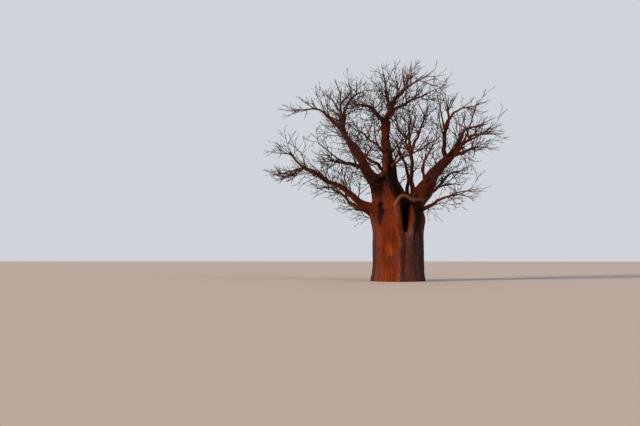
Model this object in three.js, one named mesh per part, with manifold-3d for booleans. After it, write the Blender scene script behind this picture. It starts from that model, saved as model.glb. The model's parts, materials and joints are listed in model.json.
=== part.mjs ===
// A baobab tree, bare of leaves, rooted in level ground. Millimetres, +Z up, the viewer looks along +Y.
// The origin is the centre of the flat cut at ground level. The trunk carries 31 boughs, each one
// tapering limb, and 28 boughs end in a mass of twigs that branches by one seeded rule.
import * as THREE from 'three';
import { mergeVertices } from 'three/addons/utils/BufferGeometryUtils.js';
import Module from 'manifold-3d';

const wasm = await Module();
wasm.setup();

// Driving dimensions of the trunk
const TRUNK_HEIGHT = 6300; // ground to the crotch between the great stems
const TRUNK_RADIUS = 1800; // at the waist, about half way up
const ROOT_FLARE = 200; // more radius at the ground
const ROOT_FLARE_HEIGHT = 450; // height over which most of the flare goes
const SHOULDER = 140; // more radius under the boughs
const SHOULDER_FROM = 3500;
const SHOULDER_FULL = 4700; // above this the top of the trunk rounds over
const ROUNDING_POWER = 1.7; // how late the top rounds over
const FLAT_TOP = 0.97; // where the rounding stops short of a point, as a share of its height
const TRUNK_LEAN = 60; // how far the crotch stands to the right of the foot
const FLUTES = [ // swellings that run up the trunk: how many go round, their height, their turn
  { count: 3, depth: 0.030, turn: 0.6 },
  { count: 7, depth: 0.022, turn: 2.1 },
  { count: 11, depth: 0.014, turn: 4.0 },
];
const TRUNK_SIDES = 36;
const TRUNK_STEPS = 12;

// The dark hollow between the left and the right stems, open at the front and at the top
const HOLLOW = { x: 660, bottom: 3600, top: 7000, halfWidth: 310, front: -2800, back: -750 };
// The limb that has grown across the hollow's top from one stem to the other: places along it
const CROSSING = [
  [-120, -1650, 5250], [20, -1950, 5680], [250, -2020, 6020], [520, -1980, 6150],
  [820, -1880, 6020], [1100, -1740, 5840], [1480, -1500, 5860], [1980, -920, 5880],
];
const CROSSING_RADIUS = 115;

// The flat face of the centre stem, to the right of a sharp ridge on its front: places on the ridge,
// how far the face is turned from the front, and how far to the right it is laid open
const RIDGE = [
  [-72, -1830, 5350], [-200, -1550, 5950], [-560, -1280, 6850], [-710, -1180, 7300], [-740, -940, 8000],
  [-400, -740, 8900],
];
const FACE_TURN = 42;
const FACE_RIGHT = 700;
const FACE_DEPTH = 2000; // in front of the ridge

// Gaps and sizes that every limb shares
const GAP = 0.5; // between two pieces that meet
const SWAY = 0.018; // how crooked a limb is, as a share of its length
const KINK = 0.007; // the same for its shorter bends
const KINKS = 3.5; // how many of those it has
const STEP_LENGTH = 850; // between the rings of a limb

// Limbs: the limb or trunk each leaves, where (a share of that limb's length, or a foot inside the
// trunk), the point it passes, its tip, its radius at foot and tip, and how soon the radius falls
const LIMBS = {
  centre_stem: ['trunk', [0, -300, 4650], [-600, -350, 8250], [-700, -200, 11600], 1600, 300, 2.2],
  left_bough: ['trunk', [-900, -600, 5100], [-2000, -800, 7950], [-4000, -1000, 11400], 890, 145, 1.7],
  right_bough: ['trunk', [800, -350, 4950], [2450, 200, 7350], [4400, 600, 9650], 790, 260, 1.1],
  low_left_bough: ['trunk', [-900, -900, 4900], [-3600, -1600, 6450], [-6000, -2000, 8000], 390, 120, 1.6],
  lowest_left_bough: ['trunk', [-1250, 800, 4200], [-2200, 1100, 5250], [-3050, 1400, 5450], 295, 140, 1.2],
  lowest_left_arm: ['lowest_left_bough', 0.95, [-3900, 1900, 6350], [-5150, 2500, 7300], 135, 70, 1],
  centre_left_bough: ['centre_stem', 0.95, [-1500, -1300, 12450], [-2400, -2200, 12700], 205, 80, 1],
  centre_right_bough: ['centre_stem', 0.97, [-300, 100, 13100], [600, 600, 14350], 250, 110, 1],
  centre_crown_bough: ['centre_right_bough', 0.45, [-600, -300, 13550], [-700, -800, 14250], 150, 80, 1],
  centre_far_bough: ['centre_right_bough', 0.25, [450, 1600, 13500], [1400, 2600, 14250], 155, 85, 1],
  left_outer_bough: ['left_bough', 0.96, [-4700, -1400, 11900], [-5400, -1800, 12450], 140, 85, 1],
  left_inner_bough: ['left_bough', 0.94, [-3750, 800, 13250], [-3250, 2400, 14600], 130, 80, 1],
  shaded_bough: ['left_bough', 0.32, [-2800, -2600, 8200], [-4000, -3800, 8300], 205, 90, 1],
  back_left_bough: ['centre_stem', 0.4, [-2300, 1900, 9750], [-3750, 3400, 11250], 155, 80, 1],
  low_left_upper_bough: ['low_left_bough', 0.95, [-6800, -2500, 8350], [-7350, -2900, 9000], 115, 70, 1],
  right_upright_bough: ['right_bough', 0.86, [3500, -600, 10300], [3700, -1400, 11150], 185, 115, 1],
  right_upright_arm: ['right_upright_bough', 0.93, [3900, -1900, 11750], [4400, -2400, 12050], 110, 70, 1],
  right_outer_bough: ['right_bough', 0.97, [4800, 1100, 10500], [5100, 1600, 11300], 190, 120, 1],
  right_far_bough: ['right_bough', 0.93, [4950, -600, 10000], [5350, -1600, 10400], 140, 100, 1],
  right_low_bough: ['right_bough', 0.9, [5200, 1200, 9700], [5950, 1900, 10150], 110, 70, 1],
  slender_stem_left: ['trunk', [750, 550, 5300], [800, 1000, 8100], [250, 2000, 10100], 170, 85, 1.2],
  slender_stem_right: ['trunk', [1200, 100, 5300], [1170, 0, 8050], [1100, -200, 9750], 210, 125, 1.2],
  slender_back_arm: ['slender_stem_right', 0.93, [750, 2200, 10950], [150, 4000, 12200], 110, 65, 1],
  slender_right_arm: ['slender_stem_right', 0.95, [1500, -1000, 10350], [1900, -1900, 11250], 120, 70, 1],
  right_inner_bough: ['right_bough', 0.4, [1950, -1400, 8200], [2350, -2700, 9150], 110, 65, 1],
  right_lowest_bough: ['trunk', [1650, -600, 5100], [3100, -1600, 5800], [4050, -2400, 6150], 175, 65, 1.5],
  right_lower_bough: ['trunk', [1750, 800, 5500], [3200, 1900, 7200], [4150, 2800, 8250], 190, 90, 1.5],
  back_bough: ['trunk', [0, 900, 5000], [-750, 3600, 7950], [-800, 5600, 10050], 485, 150, 1.4],
  back_right_bough: ['back_bough', 0.75, [1100, 5800, 10300], [3350, 6300, 11600], 100, 55, 1],
  front_left_bough: ['centre_stem', 0.66, [-1850, -1800, 10250], [-2600, -3600, 10450], 85, 50, 1],
  front_right_bough: ['centre_stem', 0.52, [300, -1900, 8900], [950, -3600, 9100], 75, 50, 1],
};
// Limbs with a double bend: how far each strays to one side in its lower half, and back in its upper
const DOUBLE_BENDS = { left_bough: [280, 0, 60] };

// Masses: the bough each grows from the tip of, then the centre and half sizes of its space
const SPACES = {
  left_bough: [[-4050, -600, 13450], [1350, 1700, 1850]],
  low_left_bough: [[-8150, -1400, 8000], [2100, 1800, 900]],
  lowest_left_arm: [[-5650, 3000, 7350], [1750, 1800, 1200]],
  centre_left_bough: [[-2800, -3400, 12350], [1550, 1900, 1300]],
  centre_right_bough: [[2050, 600, 15350], [1950, 2200, 1600]],
  centre_crown_bough: [[-800, -1000, 14950], [1400, 2200, 1300]],
  centre_far_bough: [[2900, 3400, 15000], [2200, 2000, 1200]],
  left_outer_bough: [[-7000, -2200, 12450], [1700, 1900, 1050]],
  left_inner_bough: [[-2750, 3400, 15150], [1550, 2000, 1350]],
  shaded_bough: [[-4450, -4600, 8350], [1350, 1900, 1050]],
  back_left_bough: [[-5100, 4400, 12150], [1750, 2000, 1300]],
  low_left_upper_bough: [[-7850, -3400, 9050], [1600, 1700, 800]],
  right_upright_bough: [[3750, -2000, 12300], [1300, 1800, 1300]],
  right_upright_arm: [[5050, -2800, 12150], [1550, 1800, 1000]],
  right_outer_bough: [[6500, 2400, 11950], [1750, 2000, 950]],
  right_far_bough: [[6550, -2400, 10300], [1550, 1800, 850]],
  right_low_bough: [[6600, 2400, 10200], [1500, 1800, 750]],
  slender_stem_left: [[-200, 2800, 11300], [1050, 1500, 1200]],
  slender_stem_right: [[1000, 200, 12200], [1050, 1600, 1800]],
  slender_back_arm: [[-350, 5200, 13350], [1350, 1900, 1350]],
  slender_right_arm: [[2200, -2600, 11950], [1050, 1700, 1200]],
  right_inner_bough: [[2600, -3600, 9700], [1100, 1700, 950]],
  right_lowest_bough: [[4900, -3000, 6300], [1500, 1800, 800]],
  right_lower_bough: [[5100, 3500, 8600], [1400, 1700, 1050]],
  back_bough: [[350, 7000, 11500], [1900, 2200, 1750]],
  back_right_bough: [[4050, 7200, 12850], [1750, 2000, 1650]],
  front_left_bough: [[-2900, -5200, 10500], [1350, 1900, 1000]],
  front_right_bough: [[1400, -5200, 9050], [1350, 1900, 1050]],
};

// How a mass branches: the stem is the first order, and each order's shoots are the next one. For each
// its mesh's steps and sides, then its least and most length and how far its tip keeps from others,
// then how much of the room before it it takes, its tip radius as a share of its root's, and how
// far it bends to any side and upwards, as shares of its length.
const ORDERS = [
  { steps: 4, sides: 4, least: 0, most: 5000, gap: 0, fill: 0.85, slim: 0.3, bend: 0, lift: 0 },
  { steps: 2, sides: 3, least: 500, most: 3200, gap: 900, fill: 0.98, slim: 0.35, bend: 0.18, lift: 0.1 },
  { steps: 1, sides: 3, least: 300, most: 1600, gap: 500, fill: 1, slim: 0, bend: 0.14, lift: 0.08 },
];
// The shoots of a twig of each order: how many are tried, where along it they begin, and how far they
// turn away from it, in radians
const SHOOTS = [
  { count: 24, first: 0.08, lean: 0.80 },
  { count: 3, first: 0.15, lean: 0.80 },
  { count: 0 },
];
const SHOOT_RADIUS = 0.68; // of a shoot at its root, as a share of its parent there
const GOLDEN_SHARE = 0.6180; // where each shoot comes along its parent, and how far round it turns
const GOLDEN_TURN = 2.3999;
const LIMB_MARGIN = 50; // between a twig and a limb
const SPACE_MARGIN = 0.06; // between two masses, as a share of their spaces
const OBSTACLE_STEP = 200; // between the places of a limb that twigs keep clear of
const TEST_SHARES = [0.25, 0.5, 0.75, 1]; // where a twig is tested for room
const STEEP = 0.9; // a heading that rises more than this takes its sides from +Y in place of +Z

// The draws that each twig takes from its key, by number
const STEM_KEY = 1000;
const SHARE_DRAW = 100;
const TURN_DRAW = 101;
const LEAN_DRAW = 102;
const LENGTH_DRAW = 103;
const BEND_DRAWS = [104, 105, 106];
const WAVE_DRAWS = [107, 108, 109];
const WAVE = 0.03; // how far a twig strays from its own curve, as a share of its length
const LEAN_RANGE = 0.30; // the least and the most lean, as a share of the rule's
const FOOT_LEAN = 1.25; // how much wider than that a shoot turns away at its parent's foot
const LEAN_LOSS = 0.45; // how much less at its parent's tip
const LENGTH_RANGE = 0.35; // the most that chance takes off a shoot's length
const SHORTENING = 0.30; // how much shorter shoots are at the tip of their parent than at its root

// A number from 0 to 1 that depends only on its two whole numbers
function mix(key, n) {
  let h = Math.imul(key ^ (n + 0x9e3779b9), 0x85ebca6b);
  h ^= h >>> 13;
  h = Math.imul(h, 0xc2b2ae35);
  return (h ^ (h >>> 16)) >>> 0;
}
const chance = (key, n) => mix(key, n) / 4294967296;
const spread = (key, n) => 2 * chance(key, n) - 1;

const vector = (a) => new THREE.Vector3(...a);
const draws = (key, numbers, size) => vector(numbers.map((n) => size * spread(key, n)));
const smooth = (a, b, x) => THREE.MathUtils.smoothstep(x, a, b);

// A closed mesh as a solid
function solidOf(geometry) {
  geometry.deleteAttribute('normal');
  geometry.deleteAttribute('uv');
  const merged = mergeVertices(geometry, 1e-3);
  return new wasm.Manifold(new wasm.Mesh({
    numProp: 3,
    vertProperties: merged.attributes.position.array,
    triVerts: new Uint32Array(merged.index.array),
  }));
}

// A solid as a named mesh
function meshOf(name, solid, material) {
  const { vertProperties, triVerts } = solid.getMesh();
  const geometry = new THREE.BufferGeometry();
  geometry.setAttribute('position', new THREE.BufferAttribute(vertProperties, 3));
  geometry.setIndex(new THREE.BufferAttribute(triVerts, 1));
  geometry.computeVertexNormals();
  const mesh = new THREE.Mesh(geometry, material);
  mesh.name = name;
  return mesh;
}

// A closed tube through points, with a radius at each. A last radius of 0 ends it in a point.
function tube(points, radii, sides) {
  const last = points.length - 1;
  const isPointed = radii[last] === 0;
  const corners = [];
  const faces = [];
  const start = points[1].clone().sub(points[0]).normalize();
  let side = Math.abs(start.z) > STEEP ? new THREE.Vector3(0, 1, 0) : new THREE.Vector3(0, 0, 1);
  points.forEach((point, i) => {
    const along = points[Math.min(i + 1, last)].clone().sub(points[Math.max(i - 1, 0)]).normalize();
    side = side.clone().addScaledVector(along, -side.dot(along)).normalize();
    const front = along.clone().cross(side);
    const isTip = isPointed && i === last;
    for (let j = 0; j < (isTip ? 1 : sides); j++) {
      const angle = 2 * Math.PI * j / sides;
      const corner = point.clone()
        .addScaledVector(side, radii[i] * Math.cos(angle))
        .addScaledVector(front, radii[i] * Math.sin(angle));
      corners.push(...corner.toArray());
    }
  });
  for (let i = 0; i < last; i++) {
    for (let j = 0; j < sides; j++) {
      const [low, lowNext] = [j, (j + 1) % sides].map((k) => i * sides + k);
      if (isPointed && i === last - 1) {
        faces.push(low, lowNext, last * sides);
      } else {
        faces.push(low, lowNext, lowNext + sides, low, lowNext + sides, low + sides);
      }
    }
  }
  for (let j = 1; j < sides - 1; j++) {
    faces.push(0, j + 1, j);
    if (!isPointed) faces.push(last * sides, last * sides + j, last * sides + j + 1);
  }
  return new wasm.Manifold(new wasm.Mesh({
    numProp: 3,
    vertProperties: new Float32Array(corners),
    triVerts: new Uint32Array(faces),
  }));
}

// A line of points made longer at both ends
function longer(points, grow) {
  const ends = [[points[0], points[1]], points.slice(-2).reverse()];
  ends.forEach(([end, inner]) => end.addScaledVector(end.clone().sub(inner).normalize(), grow));
  return points;
}

// The trunk's radius at a height and an angle
function trunkRadius(z, angle) {
  const flare = ROOT_FLARE * Math.exp(-z / ROOT_FLARE_HEIGHT);
  const shoulder = SHOULDER * smooth(SHOULDER_FROM, SHOULDER_FULL, z);
  const rounding = Math.max(0, (z - SHOULDER_FULL) / (TRUNK_HEIGHT - SHOULDER_FULL));
  const flutes = FLUTES.reduce((sum, f) => sum + f.depth * Math.cos(f.count * angle + f.turn), 1);
  const closing = Math.sqrt(1 - Math.min(rounding, FLAT_TOP) ** ROUNDING_POWER);
  return (TRUNK_RADIUS + flare + shoulder) * flutes * closing;
}

// The trunk alone, or with its surface moved out by grow
function trunkSolid(grow = 0) {
  const geometry = new THREE.CylinderGeometry(1, 1, 1, TRUNK_SIDES, TRUNK_STEPS);
  const position = geometry.attributes.position;
  for (let v = 0; v < position.count; v++) {
    const share = position.getY(v) + 0.5;
    const z = TRUNK_HEIGHT * share;
    const angle = Math.atan2(position.getX(v), position.getZ(v));
    const onAxis = Math.hypot(position.getX(v), position.getZ(v)) < 1e-6;
    const radius = onAxis ? 0 : trunkRadius(z, angle) + grow;
    position.setXYZ(
      v,
      TRUNK_LEAN * share + radius * Math.sin(angle),
      -radius * Math.cos(angle),
      z + grow * share,
    );
  }
  return solidOf(geometry);
}

// The hollow as a wedge that narrows downwards, deepest at its middle
function hollowSolid() {
  const { x, bottom, top, halfWidth, front, back } = HOLLOW;
  const middle = (bottom + top) / 2;
  const outline = new THREE.Shape([
    new THREE.Vector2(x + 0.3 * halfWidth, bottom),
    new THREE.Vector2(x + halfWidth, middle),
    new THREE.Vector2(x + halfWidth, top),
    new THREE.Vector2(x - halfWidth, top),
    new THREE.Vector2(x - halfWidth, middle),
    new THREE.Vector2(x - 0.3 * halfWidth, bottom),
  ]);
  const geometry = new THREE.ExtrudeGeometry(outline, { depth: back - front, bevelEnabled: false });
  geometry.rotateX(Math.PI / 2); // the outline's up becomes +Z, and its depth runs towards -Y
  geometry.translate(0, back, 0);
  return solidOf(geometry);
}

// The limb across the hollow's top
function crossingSolid(grow = 0) {
  return tube(longer(CROSSING.map(vector), grow), CROSSING.map(() => CROSSING_RADIUS + grow), 8);
}

// The room in front of the flat face, one block from each place on the ridge to the next
function faceSolid() {
  const slope = Math.tan(FACE_TURN * Math.PI / 180);
  const corners = ([x, y, z]) => [
    [x, y, z],
    [FACE_RIGHT, y + slope * (FACE_RIGHT - x), z],
    [FACE_RIGHT, y - FACE_DEPTH, z],
    [x - FACE_DEPTH / slope, y - FACE_DEPTH, z],
  ];
  const blocks = RIDGE.slice(1).map((place, i) => (
    wasm.Manifold.hull([...corners(RIDGE[i]), ...corners(place)])
  ));
  return wasm.Manifold.union(blocks);
}

// Where a limb runs, and how thick it is there
class Limb {
  constructor(name, order) {
    const [from, root, via, tip, ...girth] = LIMBS[name];
    const [footRadius, tipRadius, swell] = girth;
    Object.assign(this, { name, from, footRadius, tipRadius, swell, key: order + 1 });
    this.doubleBend = vector(DOUBLE_BENDS[name] ?? [0, 0, 0]);
    this.foot = from === 'trunk' ? vector(root) : limbs[from].place(root);
    this.tip = vector(tip);
    const way = vector(via);
    const before = way.distanceTo(this.foot);
    this.chord = before + way.distanceTo(this.tip);
    const t = before / this.chord;
    const pull = way.clone()
      .addScaledVector(this.foot, -((1 - t) ** 2))
      .addScaledVector(this.tip, -(t ** 2))
      .divideScalar(2 * t * (1 - t));
    this.curve = new THREE.QuadraticBezierCurve3(this.foot, pull, this.tip);
  }

  place(t) {
    const reach = this.chord * Math.sin(Math.PI * t);
    const bends = [0, 1, 2].map((n) => {
      const [first, second] = [chance(this.key, n), chance(this.key, n + 3)];
      const wave = Math.sin(2 * Math.PI * (t * (1 + first) + second));
      const kink = Math.sin(2 * Math.PI * (t * (KINKS + second) + first));
      return reach * (SWAY * wave + KINK * kink);
    });
    return this.curve.getPoint(t)
      .add(vector(bends))
      .addScaledVector(this.doubleBend, Math.sin(2 * Math.PI * t));
  }

  radius(t) {
    return this.tipRadius + (this.footRadius - this.tipRadius) * (1 - t) ** this.swell;
  }

  heading() {
    return this.place(1).sub(this.place(0.96)).normalize();
  }

  solid(grow = 0) {
    const steps = Math.max(3, Math.round(this.chord / STEP_LENGTH));
    const shares = Array.from({ length: steps + 1 }, (_, i) => i / steps);
    const sides = this.footRadius > 300 ? 10 : this.footRadius > 150 ? 8 : 6;
    const points = shares.map((t) => this.place(t));
    return tube(longer(points, grow), shares.map((t) => this.radius(t) + grow), sides);
  }
}

const limbs = {};
Object.keys(LIMBS).forEach((name, order) => {
  limbs[name] = new Limb(name, order);
});

// Places along every limb and stem, which twigs keep clear of
const obstacles = Object.values(limbs).flatMap((limb) => {
  const count = Math.ceil(limb.chord / OBSTACLE_STEP);
  return Array.from({ length: count + 1 }, (_, i) => (
    { at: limb.place(i / count), radius: limb.radius(i / count), of: limb.name }
  ));
});

// A place in a space counted in half sizes from the centre, so that the edge is 1 away
const spaces = Object.entries(SPACES).map(([bough, [centre, half]]) => (
  { bough, centre: vector(centre), half: vector(half) }
));
const inSpace = (space, point) => point.clone().sub(space.centre).divide(space.half);

// A twig's point is free inside its own space, where no other mass is nearer, and away from the limbs
function isFree(space, point, radius) {
  const depth = inSpace(space, point).length();
  const isTaken = (other) => other !== space && inSpace(other, point).length() < depth + SPACE_MARGIN;
  const isTouched = ({ at, radius: other, of }) => (
    of !== space && at.distanceTo(point) < other + radius + LIMB_MARGIN
  );
  return depth < 1 && !spaces.some(isTaken) && !obstacles.some(isTouched);
}

// How far a straight line runs before it leaves a space
function runIn(space, point, heading) {
  const from = inSpace(space, point);
  const along = heading.clone().divide(space.half);
  const square = along.dot(along);
  const half = from.dot(along);
  const rest = half * half - square * (from.dot(from) - 1);
  return rest > 0 ? (Math.sqrt(rest) - half) / square : 0;
}

// A twig leaves its root along its heading and bends as it grows
class Twig {
  constructor(order, key, root, heading, bend, length, radius) {
    Object.assign(this, { order, key, root, heading, bend, length, radius });
    this.rule = ORDERS[order];
    const wave = draws(key, WAVE_DRAWS, WAVE);
    const shares = Array.from({ length: this.rule.steps + 1 }, (_, i) => i / this.rule.steps);
    this.points = shares.map((t) => (
      root.clone()
        .addScaledVector(heading, length * t)
        .addScaledVector(bend, length * (order === 0 ? t * (1 - (1 - t) ** 3) : t * t))
        .addScaledVector(wave, length * Math.sin(2 * Math.PI * t))
    ));
    this.radii = shares.map((t) => this.radiusAt(t));
  }

  radiusAt(t) {
    return this.radius * (1 - (1 - this.rule.slim) * t);
  }

  placeAt(t) {
    const along = t * this.rule.steps;
    const step = Math.min(Math.floor(along), this.rule.steps - 1);
    return this.points[step].clone().lerp(this.points[step + 1], along - step);
  }

  headingAt(t) {
    const turned = this.order === 0 ? 1 - (1 - t) ** 2 * (1 - 4 * t) : 2 * t;
    return this.heading.clone().addScaledVector(this.bend, turned).normalize();
  }

  solid() {
    return tube(this.points, this.radii, this.rule.sides);
  }
}

// The stem of a mass runs from its bough's tip through the heart of its space
function stemOf(space) {
  const bough = limbs[space.bough];
  const root = bough.place(1).addScaledVector(bough.heading(), GAP);
  const towards = space.centre.clone().sub(root).normalize();
  const length = Math.min(ORDERS[0].most, ORDERS[0].fill * runIn(space, root, towards));
  const bend = towards.clone().sub(bough.heading());
  return new Twig(0, STEM_KEY + bough.key, root, bough.heading(), bend, length, bough.tipRadius);
}

// One shoot of a twig, or nothing where it has no room
function shootOf(space, parent, number) {
  const { key, order } = parent;
  const { first, lean: usualLean } = SHOOTS[order];
  const child = ORDERS[order + 1];
  const shootKey = mix(key, number);
  const share = first + (1 - first) * ((chance(key, SHARE_DRAW) + number * GOLDEN_SHARE) % 1);
  const root = parent.placeAt(share);
  const forward = parent.headingAt(share);
  const upright = Math.abs(forward.z) > STEEP ? new THREE.Vector3(0, 1, 0) : new THREE.Vector3(0, 0, 1);
  const side = upright.cross(forward).normalize();
  const front = forward.clone().cross(side);
  const turn = number * GOLDEN_TURN + spread(shootKey, TURN_DRAW);
  const wider = FOOT_LEAN - LEAN_LOSS * share;
  const lean = usualLean * wider * (1 + LEAN_RANGE * spread(shootKey, LEAN_DRAW));
  const heading = forward.multiplyScalar(Math.cos(lean))
    .addScaledVector(side, Math.sin(lean) * Math.cos(turn))
    .addScaledVector(front, Math.sin(lean) * Math.sin(turn));
  const bend = draws(shootKey, BEND_DRAWS, child.bend);
  bend.z += child.lift;
  const whole = heading.clone().add(bend);
  const room = child.fill * runIn(space, root, whole.clone().normalize()) / whole.length();
  const vigour = (1 - SHORTENING * share) * (1 - LENGTH_RANGE * chance(shootKey, LENGTH_DRAW));
  const length = Math.min(child.most * vigour, room);
  if (length < child.least) return null;
  const radius = SHOOT_RADIUS * parent.radiusAt(share);
  const twig = new Twig(order + 1, shootKey, root, heading, bend, length, radius);
  const tests = TEST_SHARES.map((t) => twig.placeAt(t));
  return tests.every((point) => isFree(space, point, radius)) ? twig : null;
}

// The twigs whose tips keep apart, first come first kept
function spaced(twigs) {
  const kept = [];
  for (const twig of twigs) {
    const isNear = (other) => other.placeAt(1).distanceTo(twig.placeAt(1)) < twig.rule.gap;
    if (!kept.some(isNear)) kept.push(twig);
  }
  return kept;
}

// Some twigs of one order and all that grows from them
function withShoots(space, twigs) {
  const { count } = SHOOTS[twigs[0].order];
  const numbers = Array.from({ length: count }, (_, number) => number);
  const tried = twigs.flatMap((twig) => numbers.map((number) => shootOf(space, twig, number)));
  const shoots = spaced(tried.filter(Boolean));
  return shoots.length ? [...twigs, ...withShoots(space, shoots)] : twigs;
}

const bark = new THREE.MeshStandardMaterial({ color: 0x8a5238, roughness: 0.9, metalness: 0 });
const twigBark = new THREE.MeshStandardMaterial({ color: 0x5b3a30, roughness: 0.95, metalness: 0 });
const tree = new THREE.Group();

const hollow = hollowSolid();
const face = faceSolid();
tree.add(meshOf('trunk', trunkSolid().subtract(hollow).subtract(face).add(crossingSolid()), bark));

// Each limb is cut clear of the trunk and of the limbs before it, and a scrap cut off it is dropped
const largest = (solid) => solid.decompose().sort((a, b) => b.volume() - a.volume())[0];
const cutters = [trunkSolid(GAP), hollow, face, crossingSolid(GAP)];
for (const limb of Object.values(limbs)) {
  const whole = largest(cutters.reduce((piece, cutter) => piece.subtract(cutter), limb.solid()));
  tree.add(meshOf(limb.name, whole, bark));
  cutters.push(limb.solid(GAP));
}

const stems = spaces.map(stemOf);
stems.forEach((stem, i) => {
  obstacles.push(...stem.points.map((at, j) => ({ at, radius: stem.radii[j], of: spaces[i] })));
});
spaces.forEach((space, i) => {
  const twigs = wasm.Manifold.union(withShoots(space, [stems[i]]).map((twig) => twig.solid()));
  const near = Object.values(limbs).filter((limb) => limb.name === space.bough || limb.from === space.bough);
  const clear = near.reduce((piece, limb) => piece.subtract(limb.solid(GAP)), twigs);
  tree.add(meshOf(`${space.bough}_twigs`, largest(clear), twigBark));
});

export default tree;
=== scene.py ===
"""A baobab tree, bare of leaves: one skin of bark over the trunk and great boughs, slender boughs,
and twigs that grow from all of them by one seeded rule. Metres, +Z up, seen along +Y."""
import json
import math
from collections import namedtuple

import bpy
import numpy as np
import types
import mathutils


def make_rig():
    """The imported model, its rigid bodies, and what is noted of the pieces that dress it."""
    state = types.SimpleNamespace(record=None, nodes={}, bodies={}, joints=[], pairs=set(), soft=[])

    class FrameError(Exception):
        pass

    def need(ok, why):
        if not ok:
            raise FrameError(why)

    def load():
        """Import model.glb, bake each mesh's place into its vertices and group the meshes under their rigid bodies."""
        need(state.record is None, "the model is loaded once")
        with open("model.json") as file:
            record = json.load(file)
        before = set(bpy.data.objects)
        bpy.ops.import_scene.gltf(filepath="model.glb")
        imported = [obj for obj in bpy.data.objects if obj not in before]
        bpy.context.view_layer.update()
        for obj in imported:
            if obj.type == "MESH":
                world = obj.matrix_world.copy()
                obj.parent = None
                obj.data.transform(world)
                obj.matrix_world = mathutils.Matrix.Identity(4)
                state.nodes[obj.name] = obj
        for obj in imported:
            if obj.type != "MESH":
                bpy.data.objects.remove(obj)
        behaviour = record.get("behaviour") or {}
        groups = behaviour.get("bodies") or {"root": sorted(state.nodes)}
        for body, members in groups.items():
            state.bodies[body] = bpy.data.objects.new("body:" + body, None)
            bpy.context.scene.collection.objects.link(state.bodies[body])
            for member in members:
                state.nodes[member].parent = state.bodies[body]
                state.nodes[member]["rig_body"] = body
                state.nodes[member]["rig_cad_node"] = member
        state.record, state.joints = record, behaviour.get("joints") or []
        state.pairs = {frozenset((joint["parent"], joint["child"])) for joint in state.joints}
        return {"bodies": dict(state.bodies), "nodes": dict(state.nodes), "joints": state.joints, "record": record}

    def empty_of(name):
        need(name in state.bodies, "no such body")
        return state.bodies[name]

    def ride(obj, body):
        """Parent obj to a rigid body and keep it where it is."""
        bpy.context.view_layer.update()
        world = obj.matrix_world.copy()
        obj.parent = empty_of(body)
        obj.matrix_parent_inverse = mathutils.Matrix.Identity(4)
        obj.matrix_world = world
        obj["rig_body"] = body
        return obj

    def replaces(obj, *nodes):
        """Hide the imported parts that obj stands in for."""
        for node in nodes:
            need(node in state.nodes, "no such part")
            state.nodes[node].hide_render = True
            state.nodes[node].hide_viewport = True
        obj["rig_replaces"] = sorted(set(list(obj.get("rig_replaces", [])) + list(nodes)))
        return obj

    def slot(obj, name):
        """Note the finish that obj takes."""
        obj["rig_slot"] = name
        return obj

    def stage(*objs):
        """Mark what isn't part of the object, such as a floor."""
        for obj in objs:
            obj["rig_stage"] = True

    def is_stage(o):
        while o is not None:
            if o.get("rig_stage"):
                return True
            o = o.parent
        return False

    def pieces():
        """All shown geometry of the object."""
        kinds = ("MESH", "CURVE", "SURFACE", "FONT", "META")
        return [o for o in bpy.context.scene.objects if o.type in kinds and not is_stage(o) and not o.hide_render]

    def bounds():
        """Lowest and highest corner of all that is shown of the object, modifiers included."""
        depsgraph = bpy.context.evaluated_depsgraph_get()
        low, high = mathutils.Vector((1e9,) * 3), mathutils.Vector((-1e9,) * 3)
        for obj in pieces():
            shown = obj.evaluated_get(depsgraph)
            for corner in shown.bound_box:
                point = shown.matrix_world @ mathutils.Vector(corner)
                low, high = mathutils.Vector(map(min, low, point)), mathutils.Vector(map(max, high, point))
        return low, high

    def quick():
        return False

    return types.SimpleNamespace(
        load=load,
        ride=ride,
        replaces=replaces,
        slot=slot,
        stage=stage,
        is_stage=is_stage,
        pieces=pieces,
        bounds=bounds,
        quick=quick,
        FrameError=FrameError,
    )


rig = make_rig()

# The camera, 46.4 m in front of the tree at eye height
CAMERA_PLACE = (0, -46.392, 1.6)
CAMERA_LENS = 35
CAMERA_SENSOR = 36
CAMERA_TILT = 4.2465  # degrees up
CAMERA_YAW = 7.0173  # degrees to the left of the tree

# The trunk
TRUNK_HEIGHT = 6.3
TRUNK_RADIUS = 1.8
ROOT_FLARE = 0.2
ROOT_FLARE_HEIGHT = 0.45
SHOULDER = 0.14
SHOULDER_FROM = 3.5
SHOULDER_FULL = 4.7
ROUNDING_POWER = 1.7
TRUNK_SIDES = 48
TRUNK_RINGS = 28
TRUNK_LEAN = 0.06
FLUTES = ((3, 0.030, 0.6), (7, 0.022, 2.1), (11, 0.014, 4.0))  # count, depth, turn

# Folds that run up the trunk: the middle's angle from the front to the right and its half width in
# degrees, how far it stands out, and the heights where it starts and ends
FOLDS = (
    (4, 6, 0.08, -1.0, 6.4),
    (-14, 8, -0.05, 0.6, 5.2),
    (-29, 4, -0.06, 0.8, 4.6),
    (-50, 9, 0.05, -1.0, 3.4),
    (-76, 10, 0.09, -1.0, 2.6),
    (-64, 4, -0.07, -1.0, 3.6),
    (13, 6, -0.03, -1.0, 3.8),
    (20, 4, -0.05, 1.2, 4.2),
    (33, 6, 0.17, 2.9, 5.9),
    (48, 7, -0.16, 1.8, 5.7),
    (63, 6, 0.07, -1.0, 5.0),
    (68, 5, -0.07, 0.6, 4.8),
    (84, 8, 0.07, -1.0, 4.4),
    (108, 6, -0.07, -1.0, 4.6),
    (128, 9, 0.08, -1.0, 5.2),
    (146, 5, -0.08, 0.8, 5.0),
    (166, 9, 0.09, -1.0, 5.4),
    (-172, 5, -0.08, 0.4, 5.2),
    (-150, 8, 0.07, -1.0, 4.2),
    (-128, 5, -0.08, 0.6, 4.6),
    (-106, 8, 0.07, -1.0, 4.0),
)
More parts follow.
